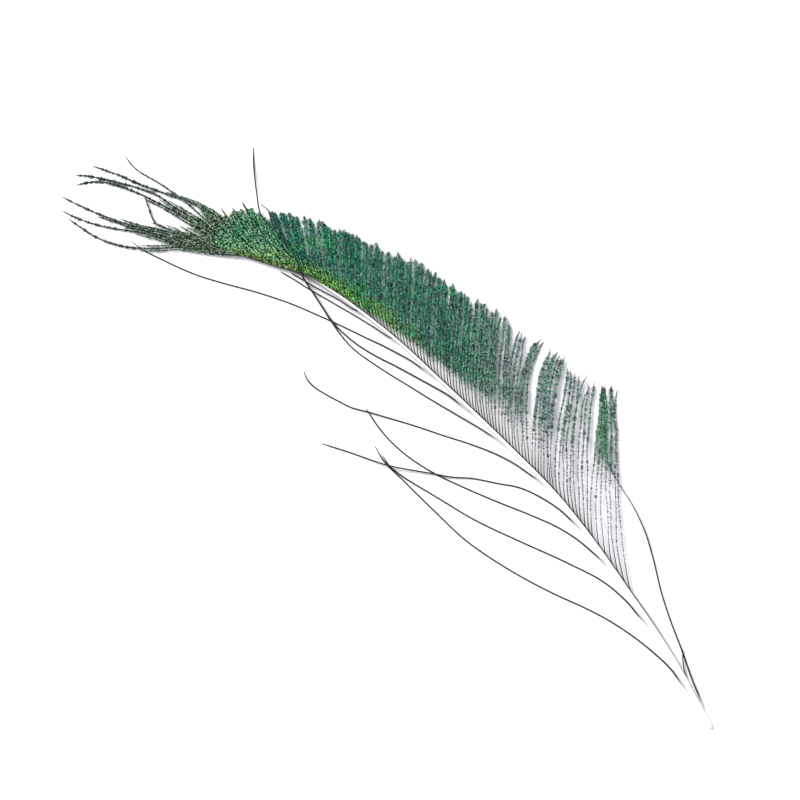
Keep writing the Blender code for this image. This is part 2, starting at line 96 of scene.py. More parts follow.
# Herls that fill the gaps beside the barbs, by the lock or barb whose piece they belong to: their root's X,
# their tip, and the length of bare rib there.
FILLERS = {
    "fringe_lock_13": ((235.4, (257.2, -68.4), 0),),
    "fringe_lock_14": ((246, (268.6, -64.6), 0),),
    "fringe_lock_15": ((259.3, (284.2, -58), 0), (266.3, (291.4, -52.6), 3)),
    "tip_tuft_1": (
        (261, (291, -47.5), 0), (264, (294.5, -45), 3), (268, (298.5, -43.5), 0),
        (271, (297, -40), 3), (270.5, (303.2, -49.2), 6),
    ),
    "tip_tuft_2": (
        (272.5, (301, -41.5), 0), (276, (304, -39.8), 3), (279, (306, -38.4), 0),
        (281, (304.5, -36), 0), (278, (305.2, -44.3), 5),
    ),
    "tip_tuft_3": (
        (283, (308.9, -40.8), 5), (285, (310.5, -35.2), 0), (286.5, (312.3, -38.3), 3),
        (288, (310, -33), 0), (289, (315.5, -35), 0), (291, (314.9, -31), 0),
        (293.5, (315.7, -27), 0), (287, (317.5, -36.2), 0), (290, (312, -33.6), 0),
        (292, (317.5, -29.6), 0),
    ),
    "tip_barb_05": (
        (297.5, (329.6, -15.8), 2), (296, (324.4, -19.2), 0), (294.5, (319.2, -22.4), 0),
        (293.5, (316, -24.6), 0),
    ),
}

# Herls that lie on top of the shaft's thin end, by lock: the X they start and end at, and how far to the
# side of its middle they are there.
COVER_HERLS = {
    "tip_tuft_1": ((266, 282, -1.2, -2.2), (268, 286, -0.5, -1.4)),
    "tip_tuft_2": ((271, 289, -1.6, -2.8), (273, 292, -0.4, -0.6)),
    "tip_tuft_3": ((278, 295, -1.2, -1.8),),
}
COVER_BARBULE = 1.1  # length of their barbules

# Single barbs: which side of the shaft they leave (1 is +Y, -1 is -Y, 0 its end), at what X, their width,
# and their route from there to the tip as X, Y and the height of the underside.
Barb = namedtuple("Barb", "name side root width route")
BARBS = (
    Barb("loose_barb_01", 1, 12, 0.6, (
        (20, -5.2, 0.4), (34.5, -6.5, 0), (47, -6.2, 0), (58.6, -4.9, 0), (69, -2.8, 0), (84, 1, 0),
        (103, 4.6, 0), (118, 6.4, 0), (130, 7, 0), (149, 5.5, 0), (169, 3.5, 0), (181.5, 2, 0),
        (188, -0.5, 0))),
    Barb("loose_barb_02", 1, 45, 0.6, (
        (56, -16.8, 0.5), (68, -17.3, 0), (88.5, -13.5, 0), (110, -8, 0), (133.5, -2.5, 0), (152, 0, 0),
        (163, 1.5, 0.5), (172.5, 2.4, 1), (179, 2, 1), (183, 0.5, 0.9))),
    Barb("loose_barb_03", 1, 76, 0.6, (
        (82, -24.5, 1), (90.4, -24.7, 0.4), (101, -23.5, 0), (114.5, -20, 0), (131, -15, 0),
        (147.5, -10.5, 0), (158, -8, 0), (176.5, -6.2, 0), (186.5, -7, 0), (195, -9, 0),
        (201.5, -11.2, 0))),
    Barb("loose_barb_04", 1, 96, 0.6, (
        (105.5, -30.2, 1.2), (114.5, -29.4, 0.4), (126, -26.5, 0), (134.5, -22, 0), (145, -16.5, 0.2),
        (153, -11, 0.9), (159.5, -7.5, 1), (168.5, -2.5, 1.4), (177, 2, 2), (186, 5.5, 1),
        (194.5, 8.5, 0), (207.5, 13.5, 0))),
    Barb("loose_barb_05", 1, 122, 0.6, (
        (136, -33.4, 1.6), (143.5, -31.8, 0.9), (154, -28.5, 0.2), (168, -23.2, 0), (179.5, -19, 0),
        (192, -14, 0.7), (200.5, -10.5, 1), (207.5, -7.4, 0.4), (214, -6, 0), (220, -4.9, 0),
        (227.5, -4.3, 0), (231.5, -5.2, 0), (234, -6.8, 0))),
    Barb("loose_barb_06", 1, 147, 0.6, (
        (155.5, -36.4, 2.2), (169.5, -34.4, 1.3), (182, -32.6, 0.5), (192.6, -31.3, 0.1),
        (205.2, -29.7, 0), (213, -29, 0), (219.5, -28.6, 0), (225, -28.8, 0.1), (231.5, -30, 0.5),
        (238.4, -32, 0.85), (244, -33.9, 1.6), (250.8, -36.2, 2.8), (256.5, -38, 3.7), (261, -39.6, 4.05),
        (265.6, -42.4, 4.1), (270, -45, 4.1), (274, -46.5, 4.05), (281.6, -49.6, 3.9),
        (287.5, -51.9, 3.7), (292.4, -53.4, 3.4), (296, -53.3, 3.2))),
    Barb("loose_barb_07", 1, 168, 0.65, (
        (176, -39.1, 2.3), (186, -37.6, 1.5), (196.2, -35.8, 0.8), (204.8, -34.2, 0.4),
        (212.3, -32.6, 0.4), (218.3, -31.7, 0.5), (224.6, -31.2, 0.8), (230, -31.3, 1.2),
        (235, -31.7, 1.55), (240, -32.8, 1.8), (244, -34.1, 2.35), (250.8, -36.4, 3.5),
        (256.5, -38.2, 4.4), (261, -39.8, 4.7), (265.6, -42.5, 4.75), (270, -45.1, 4.75),
        (274, -46.5, 4.7), (281, -47.9, 4.5), (288.1, -48.5, 4.2), (293.4, -49.8, 3.8),
        (296.2, -51.9, 3.5), (299.8, -55.3, 2.9), (304, -59.3, 1.9), (309, -64.4, 0.8), (314.7, -71, 0))),
    Barb("loose_barb_08", 1, 191, 0.6, (
        (200, -40.6, 1.8), (206.9, -39.4, 1.2), (213.5, -38.1, 0.7), (220.3, -36.4, 0.2),
        (229.7, -34.3, 0), (238, -32.3, 0), (244.1, -30.7, 0), (257.5, -27, 0), (272.5, -21.5, 0),
        (287.5, -15, 0), (297.5, -11, 0), (307.5, -8, 0), (314, -6.5, 0), (321.5, -4.8, 0),
        (328, -3.9, 0), (331, -4.2, 0))),
    Barb("loose_barb_09", 1, 214, 0.55, (
        (221, -42.1, 1.8), (230.3, -41, 1.2), (241, -39.4, 0.9), (249, -38.2, 0.9), (257, -37, 0.9),
        (264.5, -36.2, 0.9), (270.4, -35.2, 0.9))),
    Barb("loose_barb_10", 1, 234, 0.55, (
        (242, -41.8, 1.6), (250, -40.3, 1.4), (257.4, -39, 1.3), (262.9, -38.3, 1.2),
        (266.2, -37.7, 1.2))),
    Barb("base_barb", -1, 2.5, 0.6, (
        (10.5, -7.5, 0.4), (22.5, -15, 0), (34.5, -22, 0), (46, -29.5, 0), (59, -39.5, 0.3),
        (68.5, -46, 1), (76, -50, 2), (82, -52.6, 2.9), (89, -54.9, 3.5), (97, -58, 3.7), (104, -62, 3.7),
        (109, -67, 3.6), (114, -73, 3.3), (119, -79, 2.8), (123.6, -84.4, 2))),
    Barb("short_base_barb", -1, 17.3, 0.5, (
        (19.6, -11.8, 1.1), (22.8, -15.8, 1))),
    Barb("tip_barb_01", -1, 284, 0.65, (
        (291, -34.3, 2.1), (295, -35.6, 2.1), (301.5, -36.8, 2), (307, -37, 1.9), (312.5, -36.4, 1.6),
        (319, -35.2, 1.3), (324, -33.5, 1.1), (332, -30.5, 0.8), (337, -28.8, 0.6), (344.5, -26.3, 0.3),
        (353, -24, 0), (358.5, -22.2, 0), (366, -19.5, 0))),
    Barb("tip_barb_02", -1, 292.5, 0.6, (
        (300, -31.1, 2.2), (307.5, -32.1, 2.3), (315, -32.6, 2.3), (321.5, -33, 2.2), (328, -32.9, 1.95),
        (333.5, -32.6, 1.7), (338.5, -32.1, 1.4), (343.5, -31.3, 1), (349, -30.6, 0.5), (353, -30.9, 0.2),
        (357.5, -32.2, 0))),
    Barb("tip_barb_03", -1, 295.5, 0.65, (
        (302, -29.2, 1.8), (307, -29.8, 1.6), (313.5, -29.6, 1.4), (320.5, -28.7, 1.2), (326.5, -28, 1),
        (331.5, -27.8, 0.9), (336.5, -27.1, 0.7), (341, -25.6, 0.5), (346.5, -23.5, 0.3),
        (351, -21.4, 0.1), (358, -18.2, 0), (363.5, -15.4, 0), (369.5, -11.5, 0))),
    Barb("tip_barb_04", -1, 298, 0.65, (
        (304, -27.1, 1.8), (311.5, -27.8, 1.6), (319, -27.1, 1.4), (325.5, -26.3, 1.3), (331, -25.3, 1),
        (336, -24.2, 0.9), (340, -23.4, 0.8), (345.5, -21.8, 0.6), (350.5, -20.2, 0.4),
        (353.5, -18.9, 0.2), (357.5, -17, 0.1), (360, -15.2, 0), (363, -12.4, 0), (366.5, -8, 0))),
    Barb("tip_barb_05", -1, 300.5, 0.55, (
        (306, -24.9, 1.8), (312, -22.7, 1.8), (319, -19.6, 1.8), (324.5, -17.7, 1.75), (327.5, -17, 1.7),
        (331, -18.4, 1.65), (335, -20.9, 1.6), (338.8, -23.2, 1.6))),
    Barb("tip_barb_06", 0, 304.5, 0.65, (
        (310, -21.6, 1.8), (321, -16.4, 1.4), (327, -13.5, 1.2), (332.5, -11, 1), (338, -8.6, 0.7),
        (343.5, -6.5, 0.4), (349.5, -4.6, 0.2), (355.5, -2.9, 0), (361.5, -1.5, 0), (368.5, 0, 0))),
    Barb("tip_barb_07", 1, 301, 0.5, (
        (307, -20.8, 1.9), (314, -17.7, 1.7), (321, -14.9, 1.5), (329, -11.4, 1.1), (334.5, -8.9, 0.8),
        (340, -6.9, 0.6), (345, -5, 0.4), (350, -3.1, 0.2))),
    Barb("tip_barb_08", 1, 297, 0.6, (
        (303, -21.6, 1.8), (309, -18.7, 1.7), (314.5, -16.1, 1.6), (320, -13.8, 1.4), (326, -11.6, 1.1),
        (331, -9.3, 0.9), (336, -6.4, 0.7), (341, -3.5, 0.5), (346.5, -0.7, 0.2), (353, 2, 0),
        (359, 3.8, 0), (364.5, 4.9, 0))),
    Barb("tip_barb_09", 1, 292, 0.6, (
        (297.5, -23.7, 1.6), (304, -20.1, 1.5), (309, -17.4, 1.4), (313.5, -14.7, 1.3), (316.5, -12, 1.2),
        (319.5, -9.2, 1.1), (323.5, -6, 1.1), (329, -2, 1), (333.5, 0.5, 0.7), (340, 3.2, 0.3),
        (345.5, 4.7, 0.1), (352.5, 5.4, 0), (360, 5.9, 0))),
)

# How the barbules of the fringe grow, by the X where their barb leaves the shaft: up to what share of its
# length it is sparse, from what share it is full, the barbules' length, how deep its beads cut in, the
# barbules' share of their length where it is sparse, their angle to the rib, the length of a bead, how far
# its tip curls sideways, and the rib's radius at its tip.
Growth = namedtuple("Growth", "x sparse_until full_from barbule bead_depth sparse angle bead curl rib")
GROWTH = (
    (60, 0.42, 0.8, 1.1, 0.62, 0.8, 58, 1.5, 1.4, 0.26),
    (65, 0.42, 0.74, 1.1, 0.62, 0.8, 58, 1.5, 1.4, 0.26),
    (69, 0.42, 0.64, 1.65, 0.4, 0.55, 56, 1.3, 1, 0.14),
    (88, 0.38, 0.62, 1.65, 0.4, 0.55, 56, 1.3, 1.2, 0.14),
    (90, 0.36, 0.72, 1.2, 0.62, 0.8, 58, 1.5, 1.4, 0.26),
    (112, 0.28, 0.58, 1.3, 0.6, 0.75, 58, 1.5, 1.2, 0.26),
    (137, 0.17, 0.42, 1.5, 0.52, 0.6, 56, 1.4, 0.9, 0.22),
    (165, 0.12, 0.32, 1.8, 0.4, 0.4, 54, 1.35, 0.5, 0.14),
    (190, 0.08, 0.24, 2, 0.36, 0.34, 54, 1.35, 0.4, 0.1),
    (226, 0.03, 0.14, 2.05, 0.32, 0.34, 54, 1.35, 0.4, 0.1),
    (245, 0, 0.05, 2.1, 0.32, 0.34, 54, 1.35, 0.4, 0.1),
)

# The herls beyond the shaft's end: how full each is, up to what share of its length, and how many shorter
# herls lie beside it.
TIP_FULLNESS = {
    "tip_barb_01": (1.1, 0.9, 2), "tip_barb_02": (0.8, 0.7, 1), "tip_barb_03": (1.1, 1.05, 2),
    "tip_barb_04": (1.1, 1.05, 2), "tip_barb_05": (1, 1.2, 2), "tip_barb_06": (1, 0.9, 4),
    "tip_barb_07": (0.9, 0.9, 2), "tip_barb_08": (1, 0.9, 3), "tip_barb_09": (1, 0.95, 2),
}

# One kind of herl: the rib's radius at its root and tip, the barbules' length, pitch and angle to the rib
# in degrees, the length of a bead, how deep the beads cut in (0 to 1), the barbules' share of their length
# where the herl is sparse, and how far up the rib they grow (0 at its middle, 1 at its top).
Herl = namedtuple("Herl", "rib_root rib_tip barbule pitch angle bead bead_depth sparse perch")
FRINGE_HERL = Herl(0.26, 0.09, 1, 0.14, 52, 1.35, 0.75, 0.2, 0.8)
TIP_HERL = Herl(0.32, 0.25, 1.4, 0.14, 54, 1.35, 0.62, 0.3, 0)
BARE_STRAND = Herl(0.3, 0.2, 0.62, 0.26, 30, 1.5, 0.5, 1, 0.8)
FLECK = 0.5  # length of the smallest patches of colour along a herl
RIB_SIDES = 5
RIB_STEP = 1.6  # between the rings of a rib
SHAFT_SIDES = 28
SHAFT_STEP = 1.5  # between the rings of the shaft
GROOVE = (0.1, 0.38)  # along the shaft's top: its depth by the shaft's radius, and its reach in radians
BLADE_WIDTH = 0.25  # of a barbule
BLADE_RISE = 0.05  # of the ridge along a barbule
BLADE_WIDEST = 0.45  # the share of its length where a barbule is widest
BLADE_BEND = (0.12, 0.06)  # how far its tip bends forwards and down, by its length
SHORTEST = 0.06  # barbules shorter than this are left out
THINNEST = 0.03  # the least radius of a rib
TONE_SHARES = (0.4, 0.45, 0.15)  # of a barbule's tone that come from its bead, its fleck and itself
TINT_SHARES = (0.7, 0.3)  # of its tint that come from its bead and itself
BEAD_SIZE = (0.55, 0.62)  # the barbules' length in the smallest bead, and what the largest adds, as shares
SCATTER = 9  # how far a barbule's angle to the rib strays, in degrees
LIFT = (4, 11)  # how far barbules rise above level, in degrees: the mean and the spread
TILT = 0.45  # the spread of a barbule's turn about its own length, in radians
ROLL = 0.35  # how far a herl rolls about its rib, in radians
PRESSED = 0.16  # barbules lower than this are pressed flatter, so that none goes through the surface
RIB_HEIGHTS = (0.02, 5.3)  # the lowest underside and the highest top of a rib
LOCK_SEED, TIP_SEED, STRAND_SEED = 400, 200, 100  # plus a piece's index, the start of its random draws


# ---------------------------------------------------------------- curves


class Route:
    """A smooth curve through rows of values. The first two are X and Y, which its length is measured by."""

    def __init__(self, rows):
        self.rows = np.array(rows, float)
        spans = np.hypot(*np.diff(self.rows[:, :2], axis=0).T)
        self.marks = np.concatenate(([0], np.cumsum(spans)))
        self.length = self.marks[-1]
        steps = np.diff(self.rows, axis=0) / spans[:, None]
        before, after = steps[:-1], steps[1:]
        near, far = spans[:-1, None], spans[1:, None]
        rounded = (before * far + after * near) / (near + far)
        both = before + after
        steady = np.where(before * after > 0, 2 * before * after / np.where(both == 0, 1, both), 0)
        inner = np.hstack((rounded[:, :2], steady[:, 2:]))
        self.slopes = np.vstack((steps[:1], inner, steps[-1:]))

    def at(self, marks):
        """The rows of values at these lengths along the route."""
        marks = np.clip(np.atleast_1d(marks), 0, self.length)
        i = np.clip(np.searchsorted(self.marks, marks, "right") - 1, 0, len(self.marks) - 2)
        span = (self.marks[i + 1] - self.marks[i])[:, None]
        t = (marks - self.marks[i])[:, None] / span
        return (
            (2 * t**3 - 3 * t**2 + 1) * self.rows[i]
            + (t**3 - 2 * t**2 + t) * span * self.slopes[i]
            + (3 * t**2 - 2 * t**3) * self.rows[i + 1]
            + (t**3 - t**2) * span * self.slopes[i + 1]
        )

    def mark_at_x(self, x):
        """The length along the route where it passes this X."""
        marks = np.linspace(0, self.length, 4000)
        return float(np.interp(x, self.at(marks)[:, 0], marks))


shaft_route = Route(SHAFT)


def unit(vectors):
    """The vectors, each with a length of 1."""
    return vectors / np.linalg.norm(vectors, axis=-1, keepdims=True)


def smooth(values, low, high):
    """0 below low, 1 above high, and an even swing between them."""
    t = np.clip((values - low) / (high - low), 0, 1)
    return t * t * (3 - 2 * t)


def beside_shaft(x, side, clear):
    """A point level with the shaft's middle, this far clear of its side, or past its end where side is 0."""
    mark = shaft_route.mark_at_x(x)
    px, py, under, width = shaft_route.at(mark)[0]
    ahead = unit(np.diff(shaft_route.at((mark - 0.2, mark + 0.2))[:, :2], axis=0))[0]
    away = np.array((-ahead[1], ahead[0])) * side * (width / 2 + clear) if side else ahead * clear
    return np.array((px + away[0], py + away[1], under + width / 2))


def lengths_along(points):
    """How far along the line each of its points is."""
    return np.concatenate(([0], np.cumsum(np.linalg.norm(np.diff(points, axis=0), axis=1))))


def even(points, step):
    """The same line with its points about a step apart."""
    marks = lengths_along(points)
    count = max(3, round(marks[-1] / step) + 1)
    wanted = np.linspace(0, marks[-1], count)
    return np.column_stack([np.interp(wanted, marks, column) for column in points.T])


def turned(vector, degrees):
    """The vector, turned about the upward axis."""
    return np.array(Matrix.Rotation(math.radians(degrees), 3, "Z")) @ vector


def swept_line(root_x, tip, tip_height, turn, lean, reach, arch):
    """A barb of the fringe, which leaves the shaft's flank at a slant and runs the share reach of its way."""
    root = beside_shaft(root_x, -1, ROOT_CLEAR)
    chord = np.array((tip[0] - root[0], tip[1] - root[1], 0))
    start, end = np.array((root[0], root[1], 0)), np.array((tip[0], tip[1], 0))
    t = np.linspace(0, reach, 60)[:, None]
    stops = (start, start + turned(chord, turn) / 3, end - turned(chord, -lean) / 3, end)
    weights = ((1 - t) ** 3, 3 * t * (1 - t) ** 2, 3 * t**2 * (1 - t), t**3)
    line = sum(weight * stop for weight, stop in zip(weights, stops))
    line[:, 2] = root[2] + (tip_height - root[2]) * t[:, 0] + arch * np.sin(math.pi * t[:, 0])
    inside, flank = beside_shaft(root_x - 2, -1, -ROOT_CLEAR), beside_shaft(root_x - 0.8, -1, 0)
    return np.vstack((inside, flank, line))


def lock_line(lock, root_share, tip_share, reach):
    """The middle of one barb of a lock."""
    root_x = lock.root_from + (lock.root_to - lock.root_from) * root_share
    tip = np.array(lock.tip_from) * (1 - tip_share) + np.array(lock.tip_to) * tip_share
    root = beside_shaft(root_x, -1, ROOT_CLEAR)
    tip = tip + unit(tip - root[:2]) * LOCK_CROWN * math.sin(math.pi * tip_share)
    tip_height = lock.lift + TIP_THICKNESS / 2
    return swept_line(root_x, tip, tip_height, lock.turn, lock.lean, reach, LOCK_ARCH)


def cover_line(from_x, to_x, from_side, to_side):
    """A herl that grows out of the shaft's top and lies along it."""
    marks = np.linspace(shaft_route.mark_at_x(from_x), shaft_route.mark_at_x(to_x), 40)
    rows = shaft_route.at(marks)
    share = np.linspace(0, 1, 40)
    ahead = unit(np.gradient(rows[:, :2], axis=0))
    away = (from_side + (to_side - from_side) * share)[:, None]
    spots = rows[:, :2] + np.column_stack((-ahead[:, 1], ahead[:, 0])) * away
    return np.column_stack((spots, rows[:, 2] + rows[:, 3] * 0.9 + 0.4 * np.sin(math.pi * share)))


def barb_line(barb):
    """The middle of a single barb, which leaves the shaft at a slant from inside it."""
    half = barb.width / 2
    root = beside_shaft(barb.root, barb.side, ROOT_CLEAR + half)
    if barb.side:
        inside = beside_shaft(barb.root - 3.5, barb.side, -ROOT_CLEAR)
    else:
        inside = beside_shaft(barb.root - 1, 1, -ROOT_CLEAR)
    route = Route([(x, y, z - half) for x, y, z in (inside, root)] + list(barb.route))
    line = route.at(np.linspace(0, route.length, max(12, int(route.length / 1.2))))
    share = np.linspace(0, 1, len(line))
    line[:, 2] += half * (1 - 0.5 * share**2)
    return line


# ---------------------------------------------------------------- meshes


class Mesh:
    """The points, faces and point values of one piece, gathered part by part."""

    def __init__(self):
        self.points, self.maps, self.faces, self.finishes = [], [], [], []
        self.values = {name: [] for name in ("along", "reach", "tone", "tint", "lush", "bead", "seat")}
        self.seat = 0  # where the barb in hand leaves the shaft, in millimetres
        self.blades = 0  # which of the piece's finishes the barbules in hand have
        self.count = 0

    def add(self, points, values, places):
        """Adds points, with the values they carry and their places on the piece's flat map."""
        self.points.append(points)
        values = {**values, "seat": self.seat}
        for name, store in self.values.items():
            store.append(np.broadcast_to(values[name], len(points)))
        self.maps.append(places)
        self.count += len(points)

    def add_faces(self, faces, finish):
        """Adds faces between points, which are counted from the first point of the piece."""
        self.faces += [tuple(face) for face in faces.tolist()]
        self.finishes += [finish] * len(faces)

    def add_tube(self, line, ring, values, places, finish):
        """A closed tube. ring holds the steps from each point of the line to the points around it."""
        rows, sides = ring.shape[:2]
        start, centres = self.count, self.count + rows * sides
        near = start + np.arange(sides)
        far = start + (np.arange(sides) + 1) % sides
        here = sides * np.arange(rows - 1)[:, None]
        there, last = here + sides, sides * (rows - 1)
        walls = np.stack((here + near, here + far, there + far, there + near), axis=-1)
        self.add_faces(walls.reshape(-1, 4), finish)
        self.add_faces(np.column_stack((np.full(sides, centres), far, near)), finish)
        self.add_faces(np.column_stack((np.full(sides, centres + 1), last + near, last + far)), finish)
        self.add(np.vstack(((line[:, None] + ring).reshape(-1, 3), line[:1], line[-1:])), values, places)

    def make(self, name, finishes, node):
        """Makes the object that stands for a node of the CAD model."""
        mesh = bpy.data.meshes.new(name)
        points = np.vstack(self.points) * MM
        mesh.from_pydata(points.tolist(), [], self.faces)
        for value, store in self.values.items():
            layer = mesh.attributes.new(value, "FLOAT", "POINT")
            layer.data.foreach_set("value", np.concatenate(store).astype(np.float32))
        corners = np.zeros(len(mesh.loops), np.int32)
        mesh.loops.foreach_get("vertex_index", corners)
        flat = mesh.uv_layers.new(name="OFBake")
        flat.data.foreach_set("uv", np.vstack(self.maps)[corners].astype(np.float32).ravel())
        for finish in finishes:
            mesh.materials.append(finish)
        mesh.polygons.foreach_set("material_index", np.array(self.finishes, np.int32))
        mesh.shade_smooth()
        mesh.update()
        piece = bpy.data.objects.new(name, mesh)
        bpy.context.scene.collection.objects.link(piece)
        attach(piece, "root")
        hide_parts(node)


def frames(line):
    """The heading, the level side direction and the upward direction at each point of a line."""
    ahead = unit(np.gradient(line, axis=0))
    side = unit(np.cross(UP, ahead))
    return ahead, side, np.cross(ahead, side)


def by_row(values, sides):
    """The values of a tube's points, from one for each ring. Its end points take those of the end rings."""
    return np.concatenate((np.repeat(values, sides), (values[0], values[-1])))


def around(values, rows, end):
    """The values of a tube's points, from one for each side, with the value of the two end points."""
    return np.concatenate((np.tile(values, rows), (end, end)))


def add_rib(mesh, line, radii, band, lush, beads):
    """A closed round rib along a line. band is its strip of the flat map, from (u, v) to (u, v), and beads
    are its rings' places among the herl's beads."""
    _, side, up = frames(line)
    turns = 2 * math.pi * np.arange(RIB_SIDES) / RIB_SIDES
    ring = np.cos(turns)[None, :, None] * side[:, None] + np.sin(turns)[None, :, None] * up[:, None]
    along = np.linspace(0, 1, len(line))
    (u0, v0), (u1, v1) = band
    places = np.column_stack((
        by_row(u0 + (u1 - u0) * along, RIB_SIDES),
        around(v0 + (v1 - v0) * np.arange(RIB_SIDES) / (RIB_SIDES - 1), len(line), v0),
    ))
    values = {
        "along": by_row(along, RIB_SIDES), "reach": 0, "tone": 0.5, "tint": 0.5,
        "lush": by_row(lush, RIB_SIDES), "bead": by_row(beads, RIB_SIDES),
    }
    mesh.add_tube(line, ring * radii[:, None, None], values, places, 1)


def bead_at(marks, herl, phase):
    """The place among a herl's uneven beads, counted in beads, at these lengths along it."""
    return 1 + marks / herl.bead + phase + 0.5 * np.sin(marks / 1.9 + 9 * phase) + 0.3 * np.sin(marks / 0.8)


def add_barbules(mesh, line, radii, herl, lush, reach_of, band, phase, random):
    """Closed blades along both sides of a rib. lush is how full they grow from the line's start to its end,
    and reach_of gives their length at each share of it."""
    marks = lengths_along(line)
    total = marks[-1]
    ahead, side, up = frames(line)
    (u0, v0), (u1, v1) = band
    middle = (v0 + v1) / 2
    roll_pace = random.uniform(7, 14)
    roll_start = random.uniform(0, 2 * math.pi)
    bead_tones, bead_tints, bead_sizes = random.uniform(0, 1, (3, int(total / herl.bead) + 6))
    flecks = random.uniform(0, 1, (2, int(total / FLECK) + 2))
    for hand in (1, -1):
        count = int(total / herl.pitch)
        at = (np.arange(count) + random.uniform(0.1, 0.9, count)) * total / count
        share = at / total
        grown = np.interp(share, np.linspace(0, 1, len(lush)), lush)
        length = herl.barbule * reach_of(share)
        bead = bead_at(at, herl, phase)
        swell = 0.5 + 0.5 * np.cos(2 * math.pi * bead)
        depth = herl.bead_depth + (1 - herl.bead_depth) * 0.75 * (1 - grown)
        number = np.round(bead).astype(int)
        size = BEAD_SIZE[0] + BEAD_SIZE[1] * bead_sizes[number]
        length = length * size * (1 - depth * (1 - swell)) * random.uniform(0.8, 1.1, count)
        fleck = flecks[hand][(at / FLECK).astype(int)]
        tone = TONE_SHARES[0] * bead_tones[number] + TONE_SHARES[1] * fleck
        tone = tone + TONE_SHARES[2] * random.uniform(0, 1, count)
        tint = TINT_SHARES[0] * bead_tints[number] + TINT_SHARES[1] * random.uniform(0, 1, count)
        kept = (length > SHORTEST) & (random.uniform(0, 1, count) < 0.55 + 0.45 * grown)
        at, share, length, grown, tone, tint, bead = (
            column[kept] for column in (at, share, length, grown, tone, tint, bead)
        )
        count = len(at)
        if not count:
            continue
        base, t, s, n = (
            np.column_stack([np.interp(at, marks, column) for column in block.T])
            for block in (line, ahead, side, up)
        )
        base = base + n * np.interp(at, marks, radii)[:, None] * herl.perch
        roll = ROLL * np.sin(at / roll_pace * 2 * math.pi + roll_start)
        s, n = (
            unit(s * np.cos(roll)[:, None] + n * np.sin(roll)[:, None]),
            unit(n * np.cos(roll)[:, None] - s * np.sin(roll)[:, None]),
        )
        angle = np.radians(herl.angle + random.uniform(-SCATTER, SCATTER, count))[:, None]
        lift = np.radians(random.normal(*LIFT, count))[:, None]
        out = unit(s * hand * np.cos(lift) + n * np.sin(lift))
        run = unit(t * np.cos(angle) + out * np.sin(angle))
        face = unit(np.cross(run, np.cross(n, run)))
        tilt = random.normal(0, TILT, count)[:, None]
        wide = unit(np.cross(face, run))
        wide, face = wide * np.cos(tilt) + face * np.sin(tilt), face * np.cos(tilt) - wide * np.sin(tilt)
        length = length[:, None]
        root = base + out * 0.02
        half = root + run * length * BLADE_WIDEST
        tip = root + run * length + t * length * BLADE_BEND[0] - n * length * BLADE_BEND[1]
        stretch = np.clip(length / 0.8, 0.45, 1)
        width = BLADE_WIDTH / 2 * stretch
        rise = BLADE_RISE * stretch
        blades = np.stack(
            (root, half + wide * width, half - wide * width, half + face * rise, tip), axis=1
        )
        pattern = np.array(((1, 4, 2), (2, 4, 3), (3, 4, 1), (1, 2, 0), (2, 3, 0), (3, 1, 0)))
        faces = (pattern[None] + 5 * np.arange(count)[:, None, None]).reshape(-1, 3) + mesh.count
        cell = herl.pitch / total / 2
        across = np.array((0, -1, 1, 0, 0)) * cell
        outward = np.array((0.12, 0.5, 0.5, 0.5, 1))
        u = u0 + (u1 - u0) * (share[:, None] + across[None])
        v = middle + hand * (v1 - v0) / 2 * outward[None] * np.ones((count, 1))
        columns = {"along": share, "tone": tone, "tint": tint, "lush": grown, "bead": bead}
        values = {name: np.repeat(column, 5) for name, column in columns.items()}
        values["reach"] = np.tile((0, 0.5, 0.5, 0.5, 1), count)
        points = blades.reshape(-1, 3)
        low = points[:, 2] < PRESSED
        points[low, 2] = PRESSED * np.exp((points[low, 2] - PRESSED) / PRESSED)
        places = np.clip(np.column_stack((u.ravel(), v.ravel())), 0.001, 0.999)
        mesh.add_faces(faces, mesh.blades)
        mesh.add(points, values, places)


def add_herl(
    mesh, line, herl, bare_until, full_from, row, rows, random,
    blunt=2.4, fade=(1, 1), least=0.22, hair=0, slim=0,
):
    """One barb with its barbules. row of rows is its strip of the flat map, blunt is the length of its
    pointed tip, and hair the length of bare rib beyond it. Between the two shares of fade its barbules
    shrink to least, and slim is how much thinner its rib is where it is full."""
    line = even(line, RIB_STEP)
    share = np.linspace(0, 1, len(line))
    lush = smooth(share, bare_until, full_from) if full_from > bare_until else np.ones(len(line))
    radii = (herl.rib_root + (herl.rib_tip - herl.rib_root) * smooth(share, 0, 0.35)) * (1 - slim * lush)
    radii = np.maximum(radii * (1 - 0.5 * smooth(share, 0.96, 1)), THINNEST)
    line[:, 2] = np.clip(line[:, 2], radii + RIB_HEIGHTS[0], RIB_HEIGHTS[1] - radii)
    length = np.linalg.norm(np.diff(line, axis=0), axis=1).sum()
    phase = random.uniform(0, 1)

    def reach_of(where):
        grown = np.interp(where, share, lush)
        left = np.clip(((1 - where) * length - hair) / blunt, 0, 1)
        pointed = (1 - (1 - left) ** 2) ** 0.7
        faded = 1 - (1 - least) * smooth(where, *fade) if fade[1] > fade[0] else 1
        sparse = herl.sparse * (0.3 + 0.7 * smooth(where, 0.06, 0.26))
        return (sparse + (1 - sparse) * grown) * np.maximum(pointed, 0.12) * faded

    top, bottom = (row + 0.04) / rows, (row + 0.96) / rows
    middle, fifth = (top + bottom) / 2, (bottom - top) / 10
    strip = ((0.005, middle - fifth), (0.995, middle + fifth))
    add_rib(mesh, line, radii, strip, lush, bead_at(share * length, herl, phase))
    add_barbules(mesh, line, radii, herl, lush, reach_of, ((0.005, top), (0.995, bottom)), phase, random)


